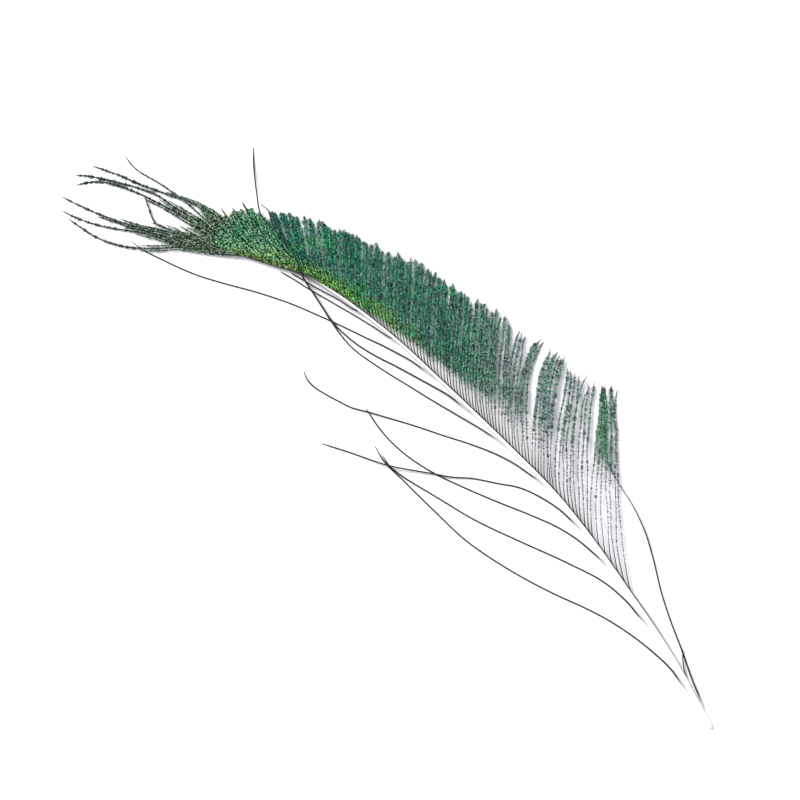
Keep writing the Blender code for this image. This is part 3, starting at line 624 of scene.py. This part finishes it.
def wander(line, random, amount, curl=0):
    """The line with a slow drift sideways and upwards that is nothing at its root, and a curl at its tip."""
    share = np.linspace(0, 1, len(line))
    _, side, up = frames(line)

    def waves(numbers, fall):
        return sum(
            random.uniform(-1, 1) * np.sin(math.pi * k * share + random.uniform(0, math.pi)) / k**fall
            for k in numbers
        )

    sway, heave = waves((1, 2, 3, 5, 8), 0.7), waves((2, 3), 1)
    fade = smooth(share, 0, 0.3)
    sideways = sway * fade * amount + random.uniform(-curl, curl) * smooth(share, 0.84, 1.08) ** 2 * 3
    return line + side * sideways[:, None] + UP * (heave * fade * amount * 0.6)[:, None]


def growth_at(root_x):
    """How the barbules grow on the barb that leaves the shaft at this X."""
    columns = np.array(GROWTH).T
    return Growth(*(float(np.interp(root_x, columns[0], column)) for column in columns))


def fringe_herl(growth):
    """The kind of herl that grows there."""
    return FRINGE_HERL._replace(
        barbule=growth.barbule, angle=growth.angle, bead=growth.bead, bead_depth=growth.bead_depth,
        sparse=growth.sparse, rib_tip=growth.rib,
    )


def notch_depth(x):
    """How far the fringe's outer edge is cut back at this X."""
    return sum(depth * math.exp(-((x - at) ** 2)) for at, depth in NOTCHES)


def make_lock(lock, index, finishes, piece):
    """The herls of one lock, drawn together at their tips in bunches, and any short ones along the shaft."""
    random = np.random.default_rng(LOCK_SEED + index)
    mesh = Mesh()
    count = sum(lock.bunches)
    fillers, covers = FILLERS.get(lock.name, ()), COVER_HERLS.get(lock.name, ())
    rows = count + len(fillers) + len(covers)
    place = 0
    for bunch in lock.bunches:
        centre = place + (bunch - 1) / 2
        fall = random.uniform(0, BUNCH_FALL)
        for number in range(place, place + bunch):
            root_share = number / (count - 1)
            tip_number = centre + (number - centre) * BUNCH_DRAW + random.uniform(-0.25, 0.25)
            tip_share = min(max(tip_number / (count - 1), 0), 1)
            root_x = lock.root_from + (lock.root_to - lock.root_from) * root_share
            tip_x = lock.tip_from[0] + (lock.tip_to[0] - lock.tip_from[0]) * tip_share
            tip_y = lock.tip_from[1] + (lock.tip_to[1] - lock.tip_from[1]) * tip_share
            root = beside_shaft(root_x, -1, ROOT_CLEAR)
            length = math.dist((tip_x, tip_y), root[:2])
            growth = growth_at(root_x)
            uneven = UNEVEN + growth.curl
            short = fall + 0.5 * abs(number - centre) + random.uniform(0, uneven) + notch_depth(tip_x)
            short -= TIP_SPREAD
            drift = 0.65 if root_x < LOOSE_UNTIL else 0.45
            line = lock_line(lock, root_share, tip_share, 1 - short / length)
            line = wander(line, random, drift, growth.curl)
            mesh.seat = root_x
            add_herl(
                mesh, line, fringe_herl(growth), growth.sparse_until, growth.full_from, number, rows, random,
                blunt=random.uniform(3, 6) - growth.curl * 1.2, hair=random.uniform(0, growth.curl * 2),
            )
        place += bunch
    for number, (root_x, tip, hair) in enumerate(fillers, count):
        mesh.seat = root_x
        line = swept_line(root_x, tip, lock.lift + 0.4, turn=8, lean=0, reach=1, arch=0.6)
        line = wander(line, random, 0.6)
        growth = growth_at(root_x)
        herl = fringe_herl(growth)._replace(rib_tip=0.2 + 0.03 * hair)
        add_herl(
            mesh, line, herl, growth.sparse_until, growth.full_from, number, rows, random,
            blunt=random.uniform(2.5, 5), hair=hair,
        )
    mesh.blades = 2
    for number, cover in enumerate(covers, count + len(fillers)):
        mesh.seat = cover[0]
        line = wander(cover_line(*cover), random, 0.3)
        herl = fringe_herl(growth_at(cover[0]))._replace(barbule=COVER_BARBULE)
        add_herl(mesh, line, herl, 0, 0, number, rows, random, blunt=6)
    mesh.make(piece, finishes, lock.name)


def make_bare_strand(barb, index, finishes, piece):
    """A bare barb, with only a few short barbules."""
    random = np.random.default_rng(STRAND_SEED + index)
    mesh = Mesh()
    herl = BARE_STRAND._replace(rib_root=barb.width * 0.7, rib_tip=barb.width * 0.6)
    add_herl(mesh, barb_line(barb), herl, 0, 0, 0, 1, random, blunt=8)
    mesh.make(piece, finishes, barb.name)


def make_base_strand(barb, index, finishes, piece):
    """The barb nearest to the quill: bare as far as the first lock, a full herl along its edge."""
    random = np.random.default_rng(STRAND_SEED + index)
    mesh = Mesh()
    herl = FRINGE_HERL._replace(rib_root=barb.width * 0.66, rib_tip=barb.width * 0.55, sparse=0.25)
    add_herl(mesh, barb_line(barb), herl, 0.58, 0.74, 0, 1, random, slim=0.65)
    mesh.make(piece, finishes, barb.name)


def make_tip_strand(barb, index, finishes, piece):
    """A barb beyond the shaft's end: full at first, thin towards its tip, with shorter ones beside it."""
    random = np.random.default_rng(TIP_SEED + index)
    mesh = Mesh()
    mesh.seat = barb.root
    fullness, until, beside = TIP_FULLNESS[barb.name]
    herl = TIP_HERL._replace(barbule=TIP_HERL.barbule * fullness)
    line = barb_line(barb)
    fillers = FILLERS.get(barb.name, ())
    rows = beside + 1 + len(fillers)
    fade = (until * 0.75, until * 1.4)
    add_herl(mesh, line, herl, 0, 0, 0, rows, random, blunt=8, fade=fade, least=0.65)
    slim = TIP_HERL._replace(barbule=1, rib_root=0.26, rib_tip=0.18)
    for number in range(beside):
        share = random.uniform(0.4, 0.68)
        short = line[: int(len(line) * share)]
        _, side, _ = frames(short)
        apart = random.uniform(0.7, 1.6) * (1 if number % 2 else -1)
        spread = smooth(np.linspace(0, 1, len(short)), 0, 0.7)
        short = wander(short + side * (spread * apart)[:, None], random, 0.5)
        add_herl(mesh, short, slim, 0, 0, number + 1, rows, random, blunt=6, hair=random.uniform(0, 3))
    for number, (root_x, tip, hair) in enumerate(fillers, beside + 1):
        short = wander(swept_line(root_x, tip, 1.6, turn=8, lean=0, reach=1, arch=0.4), random, 0.5)
        add_herl(mesh, short, slim, 0, 0, number, rows, random, blunt=6, hair=hair)
    mesh.make(piece, finishes, barb.name)


def make_shaft(finish):
    """Quill and rachis in one piece, with a shallow groove along its top."""
    sides = SHAFT_SIDES
    first = shaft_route.marks[1]
    length = shaft_route.length
    marks = np.concatenate(([0, first * 0.4], np.arange(first, length, SHAFT_STEP), [length]))
    rows = shaft_route.at(marks)
    width = rows[:, 3]
    line = np.column_stack((rows[:, 0], rows[:, 1], rows[:, 2] + width / 2))
    level = line.copy()
    level[:, 2] = 0
    _, side, _ = frames(level)
    turns = 2 * math.pi * np.arange(sides) / sides - math.pi / 2
    from_top = np.angle(np.exp(1j * (turns - math.pi / 2)))
    groove = 1 - GROOVE[0] * np.exp(-((from_top / GROOVE[1]) ** 2))
    ring = np.cos(turns)[None, :, None] * side[:, None] + (np.sin(turns) * groove)[None, :, None] * UP
    along = marks / length
    girth = (turns + math.pi / 2) / (2 * math.pi)
    values = {
        "along": by_row(along, sides), "reach": around(girth, len(line), 0.5), "tone": 0.5, "tint": 0.5,
        "lush": around(np.cos(turns), len(line), 0), "bead": 0,
    }
    places = np.column_stack((
        np.concatenate((0.01 + 0.98 * np.repeat(along, sides), (0.005, 0.995))),
        around(0.02 + 0.93 * np.arange(sides) / (sides - 1), len(line), 0.5),
    ))
    mesh = Mesh()
    mesh.add_tube(line, ring * width[:, None, None] / 2, values, places, 0)
    mesh.make("quill_and_shaft", [finish], "shaft")


# ---------------------------------------------------------------- finishes


class Wire:
    """A socket of a finish. Arithmetic on it adds the Math nodes that work it out."""

    def __init__(self, finish, socket):
        self.finish, self.socket = finish, socket

    def maths(self, operation, *values):
        return self.finish.node("ShaderNodeMath", {"operation": operation}, dict(enumerate(values)))

    def __add__(self, other):
        return self.maths("ADD", self, other)

    def __sub__(self, other):
        return self.maths("SUBTRACT", self, other)

    def __rsub__(self, other):
        return self.maths("SUBTRACT", other, self)

    def __mul__(self, other):
        return self.maths("MULTIPLY", self, other)

    __radd__, __rmul__ = __add__, __mul__


class Finish:
    """A material made of nodes that feed one shader."""

    def __init__(self, name):
        self.material = bpy.data.materials.new(name)
        self.material.use_nodes = True
        self.tree = self.material.node_tree
        self.shader = self.tree.nodes["Principled BSDF"]

    def node(self, kind, settings=None, sockets=None, out=0):
        """Adds a node, applies its settings, fills or links its sockets, and gives one of its outputs."""
        node = self.tree.nodes.new(kind)
        for name, value in (settings or {}).items():
            setattr(node, name, value)
        for name, value in (sockets or {}).items():
            self.fill(self.find(node.inputs, name), value)
        return Wire(self, self.find(node.outputs, out))

    def find(self, sockets, name):
        """The socket of this name or number."""
        if isinstance(name, int):
            return sockets[name]
        return next(socket for socket in sockets if name in (socket.identifier, socket.name))

    def fill(self, socket, value):
        """Links a wire to the socket, or sets its value."""
        if isinstance(value, Wire):
            self.tree.links.new(value.socket, socket)
        elif isinstance(value, tuple) and len(value) == 3 and socket.type == "RGBA":
            socket.default_value = (*value, 1)
        else:
            socket.default_value = value

    def value(self, name):
        """A value that the mesh carries at its points."""
        return self.node("ShaderNodeAttribute", {"attribute_name": name}, out="Fac")

    def swell(self):
        """1 in the middle of each bead of a herl, 0 between two beads."""
        bead = self.value("bead")
        return bead.maths("COSINE", bead * math.tau) * 0.5 + 0.5

    def mix(self, share, first, second):
        """Two colours mixed by a share."""
        return self.node(
            "ShaderNodeMix", {"data_type": "RGBA", "clamp_factor": True},
            {"Factor_Float": share, "A_Color": first, "B_Color": second}, out="Result_Color",
        )

    def swing(self, value, low, high):
        """0 below low, 1 above high, smooth between them."""
        return self.node(
            "ShaderNodeMapRange", {"interpolation_type": "SMOOTHSTEP"},
            {"Value": value, "From Min": low, "From Max": high}, out="Result",
        )

    def noise(self, scale, detail, where=None, roughness=0.5):
        """Noise through space, at so many waves a metre."""
        where = where or self.node("ShaderNodeTexCoord", out="Object")
        return self.node(
            "ShaderNodeTexNoise", None,
            {"Vector": where, "Scale": scale, "Detail": detail, "Roughness": roughness}, out="Fac",
        )

    def place(self, axis):
        """The point's own X, Y or Z in millimetres."""
        where = self.node("ShaderNodeTexCoord", out="Object")
        return self.node("ShaderNodeSeparateXYZ", None, {"Vector": where}, out=axis) * 1000

    def finish(self, **sockets):
        """Feeds the shader's sockets, named with underscores for spaces."""
        for name, value in sockets.items():
            self.fill(self.find(self.shader.inputs, name.replace("_", " ")), value)
        return self.material

    def scaled(self, colour, amount):
        """A colour made darker or lighter."""
        settings, sockets = {"operation": "SCALE"}, {0: colour, "Scale": amount}
        return self.node("ShaderNodeVectorMath", settings, sockets, out="Vector")

    def bump(self, height, strength, distance):
        """A relief of this height, for the shader's Normal."""
        sockets = {"Height": height, "Strength": strength, "Distance": distance}
        return self.node("ShaderNodeBump", None, sockets, out="Normal")

    def fluff(self):
        """The fine relief of barbules."""
        return self.bump(self.noise(9000, 2), strength=0.4, distance=0.00005)


# Greens of the herls
EMERALD = (0.006, 0.32, 0.145)
TEAL = (0.005, 0.24, 0.17)
LEAF = (0.235, 0.555, 0.09)
BRIGHT = (0.022, 0.48, 0.13)
OLIVE = (0.06, 0.13, 0.035)
GRASS = (0.14, 0.32, 0.05)
YELLOW_OLIVE = (0.27, 0.38, 0.1)
MOSS = (0.11, 0.185, 0.068)
SAGE = (0.1, 0.17, 0.14)
LICHEN = (0.16, 0.21, 0.14)
DEEP_GREEN = (0.01, 0.06, 0.034)
FOREST = (0.008, 0.1, 0.045)
NIGHT_GREEN = (0.004, 0.022, 0.014)
PINE_BLACK = (0.012, 0.02, 0.014)

# Greys, browns and near-blacks
SLATE = (0.06, 0.14, 0.165)
SILVER_SHEEN = (0.52, 0.56, 0.55)
PEWTER_GLINT = (0.55, 0.57, 0.56)
PAINTED_FLANK_SHADE = (0.12, 0.1, 0.11)
SHADED_BEAD = (0.04, 0.06, 0.055)
CHARCOAL = (0.036, 0.042, 0.033)
SOOT = (0.03, 0.04, 0.03)
BRONZE = (0.04, 0.035, 0.022)
WISP_BROWN = (0.05, 0.03, 0.02)
BARK = (0.06, 0.052, 0.044)
UMBER = (0.04, 0.034, 0.028)
INK = (0.014, 0.013, 0.012)
FLANK_DARK_AND_SHADE = (0.02, 0.017, 0.016)
PAINTED_END_SHADE = (0.02, 0.018, 0.014)

# Pale colours
TAN = (0.62, 0.59, 0.57)
CREAM = (0.97, 0.955, 0.9)
IVORY = (0.94, 0.91, 0.82)
CHALK = (0.92, 0.92, 0.92)
PAPER = (0.9, 0.9, 0.9)
GLINT = (0.54, 0.8, 0.66)
GREEN_GLINT = (0.3, 0.74, 0.5)
PALE_GLINT = (0.6, 0.8, 0.62)


def beaded(f, colour, glints, more=0, grain=0.55, glint=GLINT):
    """The colour, darker and lighter from bead to bead and dark at the rib, with pale glints. more brings
    out more of them, and grain is how much of the change is finer than a bead."""
    spark = f.swing(f.noise(1500, 1), 0.42, 0.58)
    tone, reach = f.value("tone") * (1 - grain) + spark * grain, f.value("reach")
    shade = (0.06 + f.swing(tone, 0.25, 0.78) * 1.75) * (0.6 + reach * 0.5)
    return f.mix(f.swing(tone + more, 0.68, 0.8) * glints, f.scaled(colour, shade), glint)


def herl_finish():
    """The fringe's barbules: emerald and teal with lighter and darker beads, bronze at the tips."""
    f = Finish("peacock_green_herl")
    along, tint, lush, seat = f.value("along"), f.value("tint"), f.value("lush"), f.value("seat")
    patches, swell = f.noise(60, 3), f.swell()
    open_locks = 1 - f.swing(seat, 130, 185)
    tipward = f.swing(seat, 182, 218)
    # Seats where the herls take more slate tint and more painted glints.
    slate_and_glint_band = f.swing(seat, 118, 140) * (1 - f.swing(seat, 172, 196))
    first_lock = 1 - f.swing(seat, 88, 89)
    pale_locks = (1 - first_lock) * (1 - f.swing(seat, 108, 118))
    near_shaft = 1 - f.swing(along + patches * 0.25, 0.28, 0.52)
    colour = f.mix(f.swing(patches + tint * 0.4, 0.52, 0.82), EMERALD, TEAL)
    colour = f.mix(f.swing(tint + slate_and_glint_band * 0.16, 0.76, 0.86) * (1 - tipward) * 0.7, colour, SLATE)
    colour = f.mix(tipward * near_shaft, colour, LEAF)
    colour = f.mix((1 - tipward) * near_shaft * f.swing(seat, 150, 185) * 0.6, colour, OLIVE)
    colour = f.mix(f.swing(f.noise(95, 1), 0.6, 0.68) * 0.8, colour, BRIGHT)
    colour = f.mix(first_lock * f.swing(along + tint * 0.2, 0.6, 0.75), colour, BRIGHT)
    colour = f.mix(first_lock * (1 - f.swing(seat, 65, 69)) * 0.8, colour, SOOT)
    colour = f.mix(pale_locks * 0.25, colour, SAGE)
    colour = f.mix(f.swing(along + tint * 0.06, 0.95, 1.02) * 0.8, colour, BRONZE)
    # The sparse barbules: pale silver on the open locks, partly their own pale colour and partly a painted
    # sheen, and lichen grey-green further on.
    silver = f.mix(f.swing(seat, 135, 180), SILVER_SHEEN, LICHEN)
    silver = f.mix(open_locks * f.swing(swell, 0.35, 0.75), silver, SHADED_BEAD)
    colour = f.mix(1 - lush, colour, silver)
    return f.finish(
        Base_Color=beaded(
            f, colour, 0.55 + open_locks * 0.35,
            more=open_locks * (0.18 - swell * 0.24) * (1.25 - lush) + slate_and_glint_band * 0.07,
            glint=f.mix(open_locks, GREEN_GLINT, GLINT),
        ),
        Roughness=0.35 + tint * 0.3,
        Metallic=0.2 + lush * 0.3,
        Specular_IOR_Level=0.08,
        Normal=f.fluff(),
    )


def rib_finish():
    """The ribs of the herls: near-black, broken by pale stretches where they are bare, partly pale rib and
    partly a painted glint.
    """
    f = Finish("herl_rib_umber")
    along, lush, seat = f.value("along"), f.value("lush"), f.value("seat")
    grain, uneven = f.noise(900, 3), f.noise(800, 0)
    colour = f.mix(f.swing(grain, 0.35, 0.65), INK, UMBER)
    colour = f.mix(lush * 0.8, colour, NIGHT_GREEN)
    # Pale stretches of rib between the beads: partly pale rib and partly a painted glint.
    gaps = f.swing(uneven * 1.6 - f.swell(), 0.2, 0.4)
    glinting_stretches = gaps * f.swing(along, 0.06, 0.2) * (1 - f.swing(seat, 125, 175))
    colour = f.mix(glinting_stretches * 0.9, colour, PEWTER_GLINT)
    colour = f.mix(f.swing(along, 0.94, 0.97) * (1 - f.swing(seat, 140, 190)), colour, WISP_BROWN)
    return f.finish(
        Base_Color=colour, Roughness=0.45 + grain * 0.2, Specular_IOR_Level=0.1,
        Normal=f.bump(grain, strength=0.3, distance=0.0001),
    )


def tuft_finish():
    """The tuft near the tip: yellow-green at the shaft, bright emerald outwards."""
    f = Finish("tuft_yellow_green_herl")
    along, tint = f.value("along"), f.value("tint")
    patches = f.noise(150, 2)
    colour = f.mix(f.swing(along + patches * 0.3, 0.35, 0.7), LEAF, EMERALD)
    colour = f.mix(f.swing(patches + tint * 0.3, 0.55, 0.8), colour, BRIGHT)
    colour = f.mix(f.swing(along + tint * 0.2, 0.75, 0.95) * 0.7, colour, BRIGHT)
    colour = f.mix(f.swing(f.place("X") + patches * 8, 303, 310) * 0.9, colour, OLIVE)
    return f.finish(
        Base_Color=beaded(f, colour, 0.75, more=0.05, glint=PALE_GLINT),
        Roughness=0.35 + patches * 0.3,
        Metallic=0.35,
        Specular_IOR_Level=0.15,
        Normal=f.fluff(),
    )


def cover_finish():
    """The herls that lie along the shaft's thin end: yellow-green and olive."""
    f = Finish("olive_yellow_herl")
    along, tint = f.value("along"), f.value("tint")
    patches = f.noise(300, 2)
    colour = f.mix(f.swing(patches + tint * 0.3, 0.5, 0.8), GRASS, YELLOW_OLIVE)
    colour = f.mix(f.swing(along + tint * 0.2, 0.75, 1) * 0.8, colour, OLIVE)
    return f.finish(
        Base_Color=beaded(f, colour, 0.4),
        Roughness=0.35 + patches * 0.3,
        Metallic=0.25,
        Specular_IOR_Level=0.15,
        Normal=f.fluff(),
    )


def tip_finish():
    """The barbs beyond the shaft's end: olive herl that turns grey-black towards the tips."""
    f = Finish("olive_black_herl")
    along, tint = f.value("along"), f.value("tint")
    x = f.place("X")
    patches = f.noise(260, 2)
    colour = f.mix(f.swing(x + patches * 12, 314, 340), MOSS, CHARCOAL)
    colour = f.mix(f.swing(tint, 0.6, 0.8) * (1 - f.swing(x, 305, 330)) * 0.7, colour, LEAF)
    return f.finish(
        Base_Color=beaded(
            f, colour, 0.9 - f.swing(x, 320, 345) * 0.35, more=0.16, grain=0.35, glint=PALE_GLINT
        ),
        Roughness=0.4 + patches * 0.3 + along * 0.05,
        Metallic=0.15,
        Specular_IOR_Level=0.2,
        Normal=f.fluff(),
    )


def strand_finish():
    """The bare barbs: brown-black, tan where they leave the shaft, dark green where two cross the fringe."""
    f = Finish("bare_barb_brown_black")
    along, tone = f.value("along"), f.value("tone")
    x, y = f.place("X"), f.place("Y")
    over_fringe = f.swing(x, 250, 268) * (1 - f.swing(y, -44, -40)) * f.swing(y, -60, -54)
    grain = f.noise(700, 3)
    colour = f.mix(f.swing(grain, 0.5, 0.68) * 0.5, INK, BARK)
    colour = f.mix(tone * 0.3, colour, PINE_BLACK)
    over_first_lock = (1 - f.swing(y, -64, -57)) * (1 - f.swing(x, 180, 220))
    colour = f.mix(over_fringe * 0.7, colour, DEEP_GREEN)
    colour = f.mix(over_first_lock * 0.8, colour, FOREST)
    colour = f.mix(f.swing(along, 0.012, 0.055), TAN, colour)
    return f.finish(
        Base_Color=colour, Roughness=0.45 + grain * 0.2, Specular_IOR_Level=0.25,
        Normal=f.bump(grain, strength=0.4, distance=0.0001),
    )


def horn_finish():
    """The shaft: cream horn with a fine lengthwise grain, dark along the fringe from its own dark flank and
    painted shade, with painted shade along its other flank and over its thin end.
    """
    f = Finish("cream_shaft_horn")
    along, girth, across = f.value("along"), f.value("reach"), f.value("lush")
    where = f.node("ShaderNodeCombineXYZ", None, {"X": along * 9, "Y": girth * 30, "Z": 0}, out="Vector")
    grain = f.noise(6, 4, where, roughness=0.6)
    colour = f.mix(f.swing(grain, 0.35, 0.7), CREAM, IVORY)
    # The flank along the fringe, darker towards the tip: partly the shaft's own dark side and partly painted
    # shade.
    flank = f.swing(along * 0.38 - across, 0.6, 0.76)
    colour = f.mix(flank * f.swing(along, 0.03, 0.2), colour, FLANK_DARK_AND_SHADE)
    # Painted shade along the flank away from the fringe, from the shaft's middle towards its tip.
    colour = f.mix(f.swing(across, 0.75, 0.95) * f.swing(along, 0.35, 0.7), colour, PAINTED_FLANK_SHADE)
    # Painted shade over the shaft's thin end, which lies under the herls near the tip.
    colour = f.mix(f.swing(along, 0.79, 0.86), colour, PAINTED_END_SHADE)
    return f.finish(
        Base_Color=colour,
        Roughness=0.35 + grain * 0.2,
        Specular_IOR_Level=0.35,
        Normal=f.bump(grain, strength=0.5, distance=0.0001),
    )


def floor_finish():
    """A matt, very pale surface."""
    f = Finish("pale_matt_floor")
    grain = f.noise(40, 3)
    colour = f.mix(grain, PAPER, CHALK)
    return f.finish(Base_Color=colour, Roughness=0.9)


# ---------------------------------------------------------------- the scene


def make_floor():
    """The surface that the feather lies on."""
    mesh = bpy.data.meshes.new("floor")
    wide = 3
    corners = [(-wide, -wide, 0), (wide, -wide, 0), (wide, wide, 0), (-wide, wide, 0)]
    mesh.from_pydata(corners, [], [(0, 1, 2, 3)])
    mesh.materials.append(floor_finish())
    floor = bpy.data.objects.new("floor", mesh)
    bpy.context.scene.collection.objects.link(floor)


def make_camera():
    """Looks straight down, with the quill towards the lower right corner of the frame."""
    camera = bpy.data.cameras.new("camera")
    camera.lens = 200
    camera.sensor_width = 36
    camera.clip_end = 50
    right, up = Vector((-0.7804, -0.6253, 0)), Vector((0.6253, -0.7804, 0))
    turn = Matrix((right, up, Vector((0, 0, 1)))).transposed().to_4x4()
    eye = bpy.data.objects.new("camera", camera)
    above_feather = (0.1923, -0.0238, 2)
    eye.matrix_world = Matrix.Translation(above_feather) @ turn
    bpy.context.scene.collection.objects.link(eye)
    bpy.context.scene.camera = eye


def make_lights():
    """A soft key from beyond the tip, and an even, slightly lavender sky."""
    middle = Vector((0.18, -0.04, 0))
    key = bpy.data.lights.new("key", "AREA")
    key.shape, key.size = "DISK", 0.7
    key.energy, key.color = 26, (1, 0.985, 0.94)
    towards = Vector((0.8, -0.09, 0.95))
    lamp = bpy.data.objects.new("key", key)
    lamp.location = middle + towards.normalized() * 1.6
    lamp.rotation_euler = towards.to_track_quat("Z", "Y").to_euler()
    bpy.context.scene.collection.objects.link(lamp)
    world = bpy.data.worlds.new("studio")
    world.use_nodes = True
    sky = world.node_tree.nodes["Background"].inputs
    sky["Color"].default_value = (0.9, 0.86, 1, 1)
    sky["Strength"].default_value = 0.82
    bpy.context.scene.world = world
    bpy.context.scene.view_settings.view_transform = "Standard"


def make_feather():
    """Every piece of the feather, with its finishes."""
    rib = rib_finish()
    green, tuft = [herl_finish(), rib], [tuft_finish(), rib, cover_finish()]
    strand, tip = [strand_finish()] * 2, [tip_finish(), rib]
    make_shaft(horn_finish())
    for index, lock in enumerate(FRINGE):
        number = lock.name.split("_")[-1]
        if lock.name.startswith("fringe"):
            make_lock(lock, index, green, f"herls_of_lock_{number}")
        else:
            make_lock(lock, index, tuft, f"herls_of_tuft_{number}")
    for index, barb in enumerate(BARBS):
        if barb.name.startswith("tip"):
            make_tip_strand(barb, index, tip, barb.name.replace("barb", "strand"))
        elif barb.name == "base_barb":
            make_base_strand(barb, index, [green[0], strand[0]], "base_strand")
        else:
            make_bare_strand(barb, index, strand, barb.name.replace("barb", "strand"))


make_feather()
make_floor()
make_camera()
make_lights()
